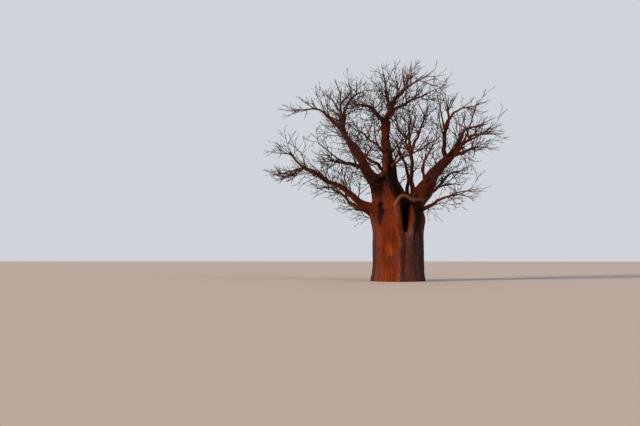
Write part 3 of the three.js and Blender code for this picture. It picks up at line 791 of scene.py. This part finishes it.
def ring_mesh(rings, is_pointed=False):
    """Closed tubes from an array of tubes, rings, corners and coordinates. Returns points, fours, threes.
    With is_pointed, each tube's last ring closes to its middle."""
    count, steps, sides, _ = rings.shape
    walls = steps - 1 if is_pointed else steps
    points = rings[:, :walls].reshape(count, -1, 3)
    if is_pointed:
        points = np.concatenate([points, rings[:, -1].mean(axis=1, keepdims=True)], axis=1)
    each = points.shape[1]
    corner = np.arange(sides)
    after = (corner + 1) % sides
    base = np.arange(walls - 1)[:, None] * sides
    fours = np.stack([base + corner, base + after, base + after + sides, base + corner + sides], axis=-1)
    fan = np.arange(1, sides - 1)
    threes = [np.stack([0 * fan, fan + 1, fan], axis=-1)]
    top = (walls - 1) * sides
    if is_pointed:
        threes.append(np.stack([top + corner, top + after, 0 * corner + walls * sides], axis=-1))
    else:
        threes.append(np.stack([0 * fan + top, top + fan, top + fan + 1], axis=-1))
    first = np.arange(count)[:, None, None] * each
    fours = (fours.reshape(1, -1, 4) + first).reshape(-1, 4)
    threes = (np.concatenate(threes)[None] + first).reshape(-1, 3)
    return points.reshape(-1, 3), fours, threes


def tube_rings(lines, radii, sides):
    """The rings round many lines: lines is tubes, steps and coordinates, radii is tubes and steps."""
    along = unit(np.gradient(lines, axis=1))
    side, _ = sideways(along[:, 0])
    rings = []
    angles = 2 * np.pi * np.arange(sides) / sides
    for i in range(lines.shape[1]):
        side = unit(side - dot(side, along[:, i])[:, None] * along[:, i])
        front = np.cross(along[:, i], side)
        ring = side[:, None] * np.cos(angles)[:, None] + front[:, None] * np.sin(angles)[:, None]
        rings.append(lines[:, i, None] + radii[:, i, None, None] * ring)
    return np.stack(rings, axis=1)


def joined(parts):
    """Several (points, fours, threes) as one."""
    points, fours, threes = [], [], []
    start = 0
    for some_points, some_fours, some_threes in parts:
        points.append(some_points)
        fours.append(some_fours + start)
        threes.append(some_threes + start)
        start += len(some_points)
    return np.concatenate(points), np.concatenate(fours), np.concatenate(threes)


def placed(name, data):
    """A new object in the scene."""
    item = bpy.data.objects.new(name, data)
    bpy.context.scene.collection.objects.link(item)
    return item


def made_mesh(name, points, fours, threes):
    """A smooth-shaded mesh object from points and its faces of four and of three corners."""
    mesh = bpy.data.meshes.new(name)
    corners = np.concatenate([fours.ravel(), threes.ravel()]).astype(np.int32)
    starts = np.concatenate([np.arange(len(fours)) * 4, len(fours) * 4 + np.arange(len(threes)) * 3])
    mesh.vertices.add(len(points))
    mesh.vertices.foreach_set("co", points.astype(np.float32).ravel())
    mesh.loops.add(len(corners))
    mesh.loops.foreach_set("vertex_index", corners)
    mesh.polygons.add(len(starts))
    mesh.polygons.foreach_set("loop_start", starts.astype(np.int32))
    mesh.polygons.foreach_set("use_smooth", np.ones(len(starts), bool))
    mesh.update(calc_edges=True)
    return placed(name, mesh)


def set_attribute(piece, name, values):
    attribute = piece.data.attributes.new(name, "FLOAT", "POINT")
    attribute.data.foreach_set("value", values.astype(np.float32))


def with_modifier(piece, kind, **settings):
    """The piece with one modifier applied."""
    modifier = piece.modifiers.new(kind, kind)
    for key, value in settings.items():
        setattr(modifier, key, value)
    depsgraph = bpy.context.evaluated_depsgraph_get()
    mesh = bpy.data.meshes.new_from_object(piece.evaluated_get(depsgraph))
    piece.modifiers.clear()
    piece.data = mesh
    return piece


def points_of(piece):
    points = np.zeros(len(piece.data.vertices) * 3)
    piece.data.vertices.foreach_get("co", points)
    return points.reshape(-1, 3)


# The skin of bark over the trunk and the limbs that are thick at their foot

def hollow_block():
    """The hollow as a rough block."""
    half = HOLLOW_HALF_WIDTH
    right = ((HOLLOW_NARROW, HOLLOW_BOTTOM), (1, HOLLOW_MIDDLE), (1, HOLLOW_TOP))
    outline = right + tuple((-x, z) for x, z in reversed(right))
    rings = [[(HOLLOW_X + half * x, y, z) for x, z in outline] for y in (HOLLOW_BACK, HOLLOW_FRONT)]
    return ring_mesh(np.array(rings)[None])


def face_block():
    """The room in front of the centre stem's flat face as a rough block."""
    back = 1 / math.tan(math.radians(FACE_TURN))
    rings = []
    for x, y, z in RIDGE[1:]:
        z = max(z, FACE_BOTTOM)
        front = y - FACE_DEPTH
        rings.append([(x, y, z), (FACE_RIGHT, y + (FACE_RIGHT - x) / back, z), (FACE_RIGHT, front, z),
                      (x - FACE_DEPTH * back, front, z)])
    return ring_mesh(np.array(rings)[None])


def limb_tube(limb, step, sides):
    t = limb.shares(step)
    return ring_mesh(tube_rings(limb.places(t)[None], limb.radii(t)[None], sides))


def rough_skin(skin_limbs):
    """One closed mesh that runs over the trunk and the limbs, with the hollow cut and the crossing limb."""
    parts = [trunk_tube()] + [limb_tube(limb, ROUGH_STEP, ROUGH_SIDES) for limb in skin_limbs]
    skin = made_mesh("bark_skin", *joined(parts))
    with_modifier(skin, "REMESH", mode="VOXEL", voxel_size=SKIN_STEP)
    arch = limb_tube(crossing, CROSSING_STEP, CROSSING_SIDES)
    for operation, block in (("DIFFERENCE", hollow_block()), ("DIFFERENCE", face_block()), ("UNION", arch)):
        helper = made_mesh("block", *block)
        with_modifier(skin, "BOOLEAN", operation=operation, object=helper, solver="EXACT")
        bpy.data.objects.remove(helper)
    return with_modifier(skin, "REMESH", mode="VOXEL", voxel_size=SKIN_STEP, use_smooth_shade=True)


def relief_at(place, size):
    """How far the bark stands out at places across and along a limb: folds, streaks and ring wrinkles."""
    folds, streaks, rings = (layer(place, *kind) for kind in (BARK_FOLDS, BARK_STREAKS, BARK_RINGS))
    return size * folds, streaks, rings


def fold_height(points):
    """The trunk's own folds at these points."""
    angle = angle_at(points)
    z = points[:, 2]
    height = np.zeros(len(points))
    for middle, half_width, depth, bottom, top in FOLDS:
        waver = layer(points[:, [2, 2, 2]], FOLD_WAVE, middle, FOLD_WAVER)
        turn = (angle - middle - waver + 180) % 360 - 180
        there = smooth(bottom, bottom + FOLD_FADE, z) * smooth(top + FOLD_FADE, top, z)
        height += depth * there * np.exp(-(turn / half_width) ** 2)
    return height


def ridge_height(points):
    """The sharp ridge on the front of the centre stem's foot and of the trunk below it."""
    _, y, z = points.T
    ridge_x, _, up = ridge_at(z)
    there = smooth(up[0] - RIDGE_FADE, up[0], z) * smooth(up[-1], up[-2], z) * smooth(0, RIDGE_BACK, y)
    return RIDGE_HEIGHT * there * np.exp(-np.abs(points[:, 0] - ridge_x) / RIDGE_WIDTH)


def grey_and_shade_at(points):
    """Where the trunk's bark is grey, partly grey bark and partly painted shade: low down, but for the panel that
    faces the front.
    """
    beside = 1 - np.exp(-((angle_at(points) - PANEL_MIDDLE) / PANEL_HALF_WIDTH) ** PANEL_POWER)
    return beside * smooth(GREY_AND_SHADE_TOP, GREY_AND_SHADE_BOTTOM, points[:, 2])


def dust_and_shade_at(points):
    """How much dust and painted shade darken the trunk's bark."""
    beside = smooth(DUST_AND_SHADE_FROM, DUST_AND_SHADE_FULL, np.abs(angle_at(points)) + layer(points, *DUST_AND_SHADE_EDGE))
    return DUST_AND_SHADE_MOST * beside * smooth(DUST_AND_SHADE_TOP, DUST_AND_SHADE_BOTTOM, points[:, 2])


def shade_patches_at(points):
    """How dark the patches of painted shade are at these points, and how light the pale patch."""
    ragged = sum(layer(points, *edge) for edge in PATCH_EDGES)
    total = np.zeros(len(points))
    for centre, half, strength in SHADE_AND_PALE_PATCHES:
        reach = np.linalg.norm((points - centre) / half, axis=1) + ragged
        total += strength * smooth(PATCH_FROM, PATCH_FULL, reach)
    return total


def make_skin():
    """The trunk and the thick limbs under one skin of bark, with its relief."""
    skin_limbs = [limb for limb in limbs.values() if limb.foot_radius >= SKIN_ROOT]
    skin = rough_skin(skin_limbs)
    points = points_of(skin)
    for _ in range(MOVES):
        field, out, _, _, _ = skin_field(points, skin_limbs)
        steepness = np.maximum(dot(out, out), LEAST_STEEPNESS)
        points -= (np.clip(field, -MOST_MOVE, MOST_MOVE) / steepness)[:, None] * out
    _, out, parts, dark, crossed = skin_field(points, skin_limbs)
    across, _, _ = trunk_place(points)
    relief = relief_at(np.column_stack([across, points[:, 2]]), 1)
    folds, streaks, rings = (parts[0] * kind for kind in relief)
    folds += parts[0] * fold_height(points)
    girth = parts[0] * TRUNK_RADIUS
    for limb, part in zip(skin_limbs, parts[1:]):
        near = part > LEAST_PART
        _, _, place = limb_field(limb, points[near])
        more = relief_at(place + limb.key, min(limb.foot_radius, 1))
        for total, kind in zip((folds, streaks, rings), more):
            total[near] += part[near] * kind
        girth += part * limb.foot_radius
    lumps = sum(layer(points, *lump) for lump in LUMPS)
    fine = (streaks + rings + lumps) * np.clip(girth / FULL_GIRTH, LEAST_GIRTH, 1)
    height = (folds + ridge_height(points) + fine) * (1 - CROSSING_SMOOTH * crossed)
    points += unit(out) * height[:, None]
    points[:, 2] = np.maximum(points[:, 2], 0)
    skin.data.vertices.foreach_set("co", points.astype(np.float32).ravel())
    skin.data.update()
    bare = 1 - crossed
    # Limbs a little darker than the trunk; the crossing lighter, partly its worn bark and partly a painted highlight
    shade = LIMB_SHADE * (1 - parts[0]) * bare - CROSSING_WEAR_AND_HIGHLIGHT * crossed
    # relief and streak lighten the bark's tone where it stands out and darken it in its grooves: painted highlight and
    # painted shade
    set_attribute(skin, "relief", height / RELIEF_UNIT)
    set_attribute(skin, "streak", streaks / BARK_STREAKS[2])
    # hollow darkens the tone: painted shade in the hollow, the knot holes and the shade patches, and the limbs a
    # little darker; the pale patch and the crossing are lighter
    set_attribute(skin, "hollow", dark + shade + shade_patches_at(points) * bare)
    # grey: partly grey bark, partly painted shade low on the trunk's flanks
    set_attribute(skin, "grey", np.maximum(parts[0] * grey_and_shade_at(points) * bare, CROSSING_GREY * crossed))
    # Dust and painted shade, low on the trunk's flanks
    set_attribute(skin, "dust", parts[0] * dust_and_shade_at(points))
    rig.replaces(skin, "trunk", *[limb.name for limb in skin_limbs])
    return skin


def make_slender_boughs():
    """The limbs that are thin at their foot, each with a collar where it leaves its parent."""
    slender = [limb for limb in limbs.values() if limb.foot_radius < SKIN_ROOT]
    parts = []
    relief = []
    for limb in slender:
        t = limb.shares(TUBE_STEP)
        line = limb.places(t)
        beyond = np.maximum(t * limb.chord - limbs[limb.source].radii(limb.share), 0)
        radii = limb.radii(t) * (1 + COLLAR * np.exp(-beyond / (COLLAR_LENGTH * limb.foot_radius)))
        rings = tube_rings(line[None], radii[None], TUBE_SIDES)
        knobs = sum(layer(rings[0].reshape(-1, 3), grain, limb.key, size) for grain, size in KNOBS)
        middle = line[:, None]
        parts.append(ring_mesh(middle + (rings - middle) * (1 + knobs.reshape(1, len(t), TUBE_SIDES, 1))))
        # Knobs lighter and dents darker: painted highlight and painted shade
        relief.append(knobs * KNOB_SHADE_AND_HIGHLIGHT)
    piece = made_mesh("slender_boughs", *joined(parts))
    for name in ("relief", "streak"):
        set_attribute(piece, name, np.concatenate(relief))
    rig.replaces(piece, *[limb.name for limb in slender])
    return piece


# Twigs

class Twigs:
    """Twigs of one order, each bending as it grows away from its root."""

    def __init__(self, order, keys, roots, headings, bends, lengths, radii):
        self.order = order
        self.keys, self.roots, self.headings = keys, roots, headings
        self.bends, self.lengths, self.radii = bends, lengths, radii
        self.waves = draws(keys, WAVE_DRAWS, WAVE)

    def only(self, which):
        kept = (self.keys, self.roots, self.headings, self.bends, self.lengths, self.radii)
        return Twigs(self.order, *(values[which] for values in kept))

    def places(self, t):
        t = np.broadcast_to(t, self.lengths.shape)[:, None]
        turned = t * (1 - (1 - t) ** 3) if self.order == 0 else t * t
        grown = self.headings * t + self.bends * turned + self.waves * np.sin(2 * np.pi * t)
        return self.roots + self.lengths[:, None] * grown

    def radii_at(self, t):
        slim = ORDERS[self.order].slim
        return self.radii * (slim + (1 - slim) * (1 - t) ** TAPER)

    def headings_at(self, t):
        t = t[:, None]
        turned = 1 - (1 - t) ** 2 * (1 - 4 * t) if self.order == 0 else 2 * t
        return unit(self.headings + turned * self.bends)

    def mesh(self):
        rule = ORDERS[self.order]
        shares = np.linspace(0, 1, rule.steps + 1)
        lines = np.stack([self.places(t) for t in shares], axis=1)
        radii = np.stack([self.radii_at(t) for t in shares], axis=1)
        radii[:, -1] *= TIP_RING
        return ring_mesh(tube_rings(lines, radii, rule.sides), is_pointed=True)


class Space:
    """The ellipsoid that one mass keeps to."""

    def __init__(self, bough, centre, half, sparse):
        self.bough, self.centre, self.half, self.sparse = bough, np.array(centre), np.array(half), sparse

    def depth(self, points):
        """0 at the centre and 1 at the edge."""
        return np.linalg.norm((points - self.centre) / self.half, axis=-1)

    def run(self, points, headings):
        """How far a straight line runs before it leaves the space."""
        start = (points - self.centre) / self.half
        along = headings / self.half
        square = dot(along, along)
        half = dot(start, along)
        rest = half * half - square * (dot(start, start) - 1)
        return np.where(rest > 0, (np.sqrt(np.maximum(rest, 0)) - half) / square, 0)


def clear_of(points, radii, obstacles, margin):
    """True where a point keeps clear of all obstacles, given as places and radii."""
    places, sizes = obstacles
    if not len(places) or not len(points):
        return np.ones(len(points), bool)
    near = np.linalg.norm(points[:, None] - places[None], axis=2) < sizes + radii[:, None] + margin
    return ~near.any(axis=1)


def has_room(twigs, space, obstacles):
    """True for the twigs that keep to their space and clear of all else."""
    order = twigs.order
    is_fine = order >= FINE_ORDER
    free = np.ones(len(twigs.keys), bool)
    if space is None and order == 1:
        outside = np.min([other.depth(twigs.places(1.0)) for other in spaces], axis=0) > SIDE_REACH
        free &= ~outside | (twigs.lengths < SIDE_OUTSIDE)
    for t in TEST_SHARES[1::2] if is_fine else TEST_SHARES:
        at = twigs.places(t)
        free &= ((at > cad_box[0] - PROUD) & (at < cad_box[1] + PROUD)).all(axis=1)
        if space is not None:
            depth = space.depth(at)
            free &= depth < (1 if order < 2 else EDGE_MOST - EDGE_RANGE * chance(twigs.keys, EDGE_DRAW))
            for other in spaces:
                if other is not space and not is_fine:
                    free &= other.depth(at) >= depth + SPACE_MARGIN
        free &= clear_of(at, twigs.radii, obstacles, FINE_MARGIN if is_fine else LIMB_MARGIN)
    return free


def spaced(twigs, space, sparse):
    """The twigs whose tips keep apart, first come first kept."""
    tips = twigs.places(1.0)
    gaps = np.full(len(tips), sparse * ORDERS[twigs.order].gap)
    if space is not None:
        gaps *= 1 + EDGE_GAP * smooth(EDGE_FROM, 1, space.depth(tips))
    kept = np.zeros(len(tips), bool)
    for i, tip in enumerate(tips):
        kept[i] = not (np.linalg.norm(tips[kept] - tip, axis=1) < gaps[i]).any()
    return twigs.only(kept)


def shoots_of(order, keys, numbers, shares, roots, forwards, radii, space, obstacles, sparse, longest=None):
    """The shoots of one order that grow from these roots and have room."""
    rule = ORDERS[order]
    shoot_keys = mix(keys, numbers)
    turn = numbers * GOLDEN_TURN + spread(shoot_keys, TURN_DRAW)
    lean = ORDERS[order - 1].lean * (1 + LEAN_RANGE * spread(shoot_keys, LEAN_DRAW))
    lean *= FOOT_LEAN - LEAN_LOSS * shares
    headings = forwards * np.cos(lean)[:, None] + around(forwards, turn) * np.sin(lean)[:, None]
    bends = draws(shoot_keys, BEND_DRAWS, rule.bend)
    bends[:, 2] += rule.lift
    whole = headings + bends
    stretch = np.linalg.norm(whole, axis=1)
    vigour = (1 - SHORTENING * shares) * (1 - LENGTH_RANGE * chance(shoot_keys, LENGTH_DRAW))
    lengths = vigour * (rule.most if longest is None else longest)
    if space is not None:
        lengths = np.minimum(lengths, rule.fill * space.run(roots, whole / stretch[:, None]) / stretch)
    twigs = Twigs(order, shoot_keys, roots, headings, bends, lengths, np.maximum(radii, FINEST))
    twigs = twigs.only(lengths >= rule.least)
    return spaced(twigs.only(has_room(twigs, space, obstacles)), space, sparse)


def with_shoots(twigs, space, obstacles, sparse):
    """These twigs and all that grows from them, as a list by order."""
    rule = ORDERS[twigs.order]
    if not rule.count or not len(twigs.keys):
        return [twigs]
    numbers = np.tile(np.arange(rule.count), len(twigs.keys))
    parents = twigs.only(np.repeat(np.arange(len(twigs.keys)), rule.count))
    drawn = (chance(parents.keys, SHARE_DRAW) + numbers * GOLDEN_SHARE) % 1
    shares = rule.first + (1 - rule.first) * drawn
    radii = SHOOT_RADIUS * parents.radii_at(shares)
    shoots = shoots_of(twigs.order + 1, parents.keys, numbers, shares, parents.places(shares),
                       parents.headings_at(shares), radii, space, obstacles, sparse)
    return [twigs] + with_shoots(shoots, space, obstacles, sparse)


def stem_of(space):
    """The stem of a mass runs from its bough's tip through the heart of its space."""
    bough = limbs[space.bough]
    heading = bough.end_heading()
    tip = bough.places(1)[0]
    towards = unit(space.centre - tip)
    run = ORDERS[0].fill * space.run(tip[None], towards[None])[0]
    length = min(ORDERS[0].most, run)
    root = tip - STEM_OVERLAP * heading
    one = [np.array([value]) for value in (heading, towards - heading, length, bough.tip_radius)]
    return Twigs(0, np.array([STEM_KEY + bough.key]), root[None], *one)


def limb_obstacles(centre, reach, own=None):
    """Places near a centre on all limbs but a twig's own, for it to keep clear of, and their radii."""
    others = [limb for limb in limbs.values() if limb is not own]
    places = np.concatenate([limb.places(limb.shares(OBSTACLE_STEP)) for limb in others])
    sizes = np.concatenate([limb.radii(limb.shares(OBSTACLE_STEP)) for limb in others])
    near = np.linalg.norm(places - centre, axis=1) < reach + sizes
    return places[near], sizes[near]


def grow_mass(space):
    """All the twigs of one mass, by order."""
    places, sizes = limb_obstacles(space.centre, space.half.max() + OBSTACLE_STEP)
    shares = np.linspace(0, 1, STEM_TESTS)
    for other, stem in stems.items():
        if other != space.bough:
            places = np.concatenate([places, *(stem.places(t) for t in shares)])
            sizes = np.concatenate([sizes, *(stem.radii_at(t) for t in shares)])
    return with_shoots(stems[space.bough], space, (places, sizes), space.sparse)


def grow_sides(limb):
    """The twigs that a limb bears along its thinner part, by order."""
    t = limb.shares(SIDE_SPACING)[:-1]
    radii = limb.radii(t)
    t, radii = t[radii < SIDE_WIDEST], radii[radii < SIDE_WIDEST]
    if limb.source != "trunk":
        t, radii = t[1:], radii[1:]
    numbers = np.arange(len(t))
    keys = np.full(len(t), SIDE_KEY + limb.key)
    forwards = limb.headings(t)
    aside = around(forwards, numbers * GOLDEN_TURN + spread(mix(keys, numbers), TURN_DRAW))
    roots = limb.places(t) + SIDE_SUNK * radii[:, None] * aside
    share = chance(mix(keys, numbers), SIDE_DRAW) ** SIDE_SKEW
    share *= smooth(DROOPING, RISING, aside[:, 2])
    longest = SIDE_SHORTEST + (SIDE_LONGEST - SIDE_SHORTEST) * share
    thin = np.minimum(SHOOT_RADIUS * radii, SIDE_RADIUS * np.sqrt(longest / SIDE_LONGEST))
    obstacles = limb_obstacles(limb.places(0.5)[0], limb.chord / 2 + SIDE_ROUND, limb)
    shoots = shoots_of(1, keys, numbers, t, roots, forwards, thin, None, obstacles, limb.sparse, longest)
    return with_shoots(shoots, None, obstacles, limb.sparse)


def twig_piece(name, sprays):
    """One piece from several sprays of twigs. Each spray has one of the plain browns."""
    meshes, colours = [], []
    for number, spray in enumerate(sprays):
        for twigs in spray:
            if len(twigs.keys):
                meshes.append(twigs.mesh())
                colours.append(number % len(browns))
    piece = made_mesh(name, *joined(meshes))
    fours = [np.full(len(fours), colour) for (_, fours, _), colour in zip(meshes, colours)]
    threes = [np.full(len(threes), colour) for (_, _, threes), colour in zip(meshes, colours)]
    for brown in browns:
        piece.data.materials.append(brown)
    piece.data.polygons.foreach_set("material_index", np.concatenate(fours + threes).astype(np.int32))
    return piece


# Materials

class Nodes:
    """A material's nodes, made and linked by short calls."""

    def __init__(self, name):
        self.material = bpy.data.materials.new(name)
        self.material.use_nodes = True
        self.tree = self.material.node_tree
        self.shader = self.tree.nodes["Principled BSDF"]

    def add(self, kind, settings=None, **inputs):
        node = self.tree.nodes.new(kind)
        for key, value in (settings or {}).items():
            setattr(node, key, value)
        for key, value in inputs.items():
            self.feed(node.inputs[key.replace("_", " ")], value)
        return node

    def feed(self, socket, value):
        if isinstance(value, bpy.types.NodeSocket):
            self.tree.links.new(value, socket)
        else:
            socket.default_value = value

    def attribute(self, name):
        return self.add("ShaderNodeAttribute", {"attribute_name": name}).outputs["Fac"]

    def blend(self, factor, first, second):
        node = self.add("ShaderNodeMix", {"data_type": "RGBA"})
        for socket, value in (("Factor", factor), (6, first), (7, second)):
            self.feed(node.inputs[socket], value)
        return node.outputs[2]

    def maths(self, operation, *values):
        node = self.add("ShaderNodeMath", {"operation": operation})
        for socket, value in zip(node.inputs, values):
            self.feed(socket, value)
        return node.outputs[0]

    def ramp(self, factor, stops):
        node = self.add("ShaderNodeValToRGB", Fac=factor)
        elements = node.color_ramp.elements
        while len(elements) < len(stops):
            elements.new(0.5)
        for element, (place, colour) in zip(elements, stops):
            element.position = place
            element.color = (*colour, 1)
        return node.outputs["Color"]


def bark_material():
    """Red-brown bark: painted highlight on its ridges, painted shade in its grooves, hollow and knots, grey in
    patches, and dust and painted shade low down.
    """
    nodes = Nodes("bark")
    place = nodes.add("ShaderNodeTexCoord").outputs["Object"]
    stretched = nodes.add("ShaderNodeMapping", Vector=place, Scale=GRAIN_STRETCH).outputs["Vector"]
    mottle = nodes.add("ShaderNodeTexNoise", Vector=place, **MOTTLE).outputs["Fac"]
    grain = nodes.add("ShaderNodeTexNoise", Vector=stretched, **GRAIN).outputs["Fac"]
    # Painted highlight where the bark stands out and painted shade in its grooves
    tone = nodes.maths("MULTIPLY_ADD", nodes.attribute("relief"), RELIEF_SHADE_AND_HIGHLIGHT, TONE_MIDDLE)
    tone = nodes.maths("MULTIPLY_ADD", nodes.attribute("streak"), STREAK_SHADE_AND_HIGHLIGHT, tone)
    tone = nodes.maths("ADD", tone, nodes.maths("MULTIPLY_ADD", grain, TONE_GRAIN, -TONE_GRAIN / 2))
    # Painted shade in the hollow, the knot holes and the shade patches
    tone = nodes.maths("MULTIPLY_ADD", nodes.attribute("hollow"), -TONE_DARK, tone)
    # Grey patches, with more grey low down: partly grey bark, partly painted shade
    mottle = nodes.maths("MULTIPLY_ADD", nodes.attribute("grey"), GREY_PATCHES, mottle)
    patches = nodes.ramp(mottle, GREY_RAMP)
    colour = nodes.blend(patches, nodes.ramp(tone, BARK_WARM), nodes.ramp(tone, BARK_GREY))
    # Dust and painted shade low on the trunk's flanks
    colour = nodes.blend(nodes.attribute("dust"), colour, (*DUST_AND_SHADE_COLOUR, 1))
    nodes.feed(nodes.shader.inputs["Base Color"], colour)
    rough = nodes.maths("MULTIPLY_ADD", grain, BARK_ROUGHNESS_RANGE, BARK_ROUGHNESS)
    nodes.feed(nodes.shader.inputs["Roughness"], rough)
    nodes.shader.inputs["Specular IOR Level"].default_value = BARK_SPECULAR
    edges = {"feature": "DISTANCE_TO_EDGE"}
    pits = nodes.add("ShaderNodeTexVoronoi", edges, Vector=stretched, Scale=PIT_SCALE).outputs["Distance"]
    cracks = nodes.maths("MINIMUM", pits, PIT_WIDTH)
    bump = nodes.add("ShaderNodeBump", Height=nodes.maths("MULTIPLY_ADD", cracks, PIT_DEPTH, grain), **BUMP)
    nodes.feed(nodes.shader.inputs["Normal"], bump.outputs["Normal"])
    return nodes.material


def plain_material(name, colour, roughness, specular=None):
    nodes = Nodes(name)
    nodes.shader.inputs["Base Color"].default_value = (*colour, 1)
    nodes.shader.inputs["Roughness"].default_value = roughness
    if specular is not None:
        nodes.shader.inputs["Specular IOR Level"].default_value = specular
    return nodes.material


# The studio

def make_stage():
    """A pale floor, a pale background, a low warm lamp from the left and a weak one from the right."""
    corners = FLOOR_HALF * np.array([(-1, -1, 0), (1, -1, 0), (1, 1, 0), (-1, 1, 0)])
    floor = made_mesh("floor", corners, np.array([(0, 1, 2, 3)]), np.zeros((0, 3), int))
    floor.data.materials.append(plain_material("floor", FLOOR_COLOUR, FLOOR_ROUGHNESS))
    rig.stage(floor)
    world = bpy.data.worlds.new("studio")
    world.use_nodes = True
    tree = world.node_tree
    light = tree.nodes["Background"]
    light.inputs["Color"].default_value = (*SKY_LIGHT, 1)
    light.inputs["Strength"].default_value = 1
    seen = tree.nodes.new("ShaderNodeBackground")
    seen.inputs["Color"].default_value = (*BACKGROUND, 1)
    mixed = tree.nodes.new("ShaderNodeMixShader")
    ray = tree.nodes.new("ShaderNodeLightPath")
    tree.links.new(ray.outputs["Is Camera Ray"], mixed.inputs["Fac"])
    tree.links.new(light.outputs["Background"], mixed.inputs[1])
    tree.links.new(seen.outputs["Background"], mixed.inputs[2])
    tree.links.new(mixed.outputs["Shader"], tree.nodes["World Output"].inputs["Surface"])
    bpy.context.scene.world = world
    for name, azimuth, elevation, strength, colour, width in LAMPS:
        lamp = bpy.data.lights.new(name, "SUN")
        lamp.energy, lamp.color, lamp.angle = strength, colour, math.radians(width)
        placed(name, lamp).rotation_euler = (math.radians(90 - elevation), 0, math.radians(azimuth))
    bpy.context.scene.view_settings.view_transform = "Standard"


def make_camera():
    """The camera at the photograph's place and angle."""
    camera = bpy.data.cameras.new("camera")
    camera.lens, camera.sensor_width = CAMERA_LENS, CAMERA_SENSOR
    camera.clip_end = SIGHT
    holder = placed("camera", camera)
    holder.location = CAMERA_PLACE
    holder.rotation_euler = (math.radians(90 + CAMERA_TILT), 0, math.radians(CAMERA_YAW))
    bpy.context.scene.camera = holder


# The scene

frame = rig.load()
cad_box = np.array(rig.bounds())
make_camera()
make_stage()

limbs = {}
for order, name in enumerate(LIMBS):
    limbs[name] = Limb(name, order)
crossing = Crossing()
spaces = [Space(bough, *place) for bough, place in SPACES.items()]
stems = {space.bough: stem_of(space) for space in spaces}

bark = bark_material()
for piece in (make_skin(), make_slender_boughs()):
    piece.data.materials.clear()
    piece.data.materials.append(bark)
    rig.slot(piece, "bark")
    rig.ride(piece, "root")

browns = [plain_material(f"twig_brown_{number}", brown, TWIG_ROUGHNESS, TWIG_SPECULAR)
          for number, brown in enumerate(TWIG_BROWNS, start=1)]
crown_twigs = twig_piece("crown_twigs_1", [grow_mass(space) for space in spaces])
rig.replaces(crown_twigs, *[f"{space.bough}_twigs" for space in spaces])
side_twigs = twig_piece("side_twigs_1", [grow_sides(limb) for limb in limbs.values()])
for piece in (crown_twigs, side_twigs):
    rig.slot(piece, "twigs")
    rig.ride(piece, "root")

visual_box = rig.bounds()
with open("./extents.json", "w") as file:
    json.dump({"cad": cad_box.tolist(), "visual": [list(corner) for corner in visual_box]}, file)
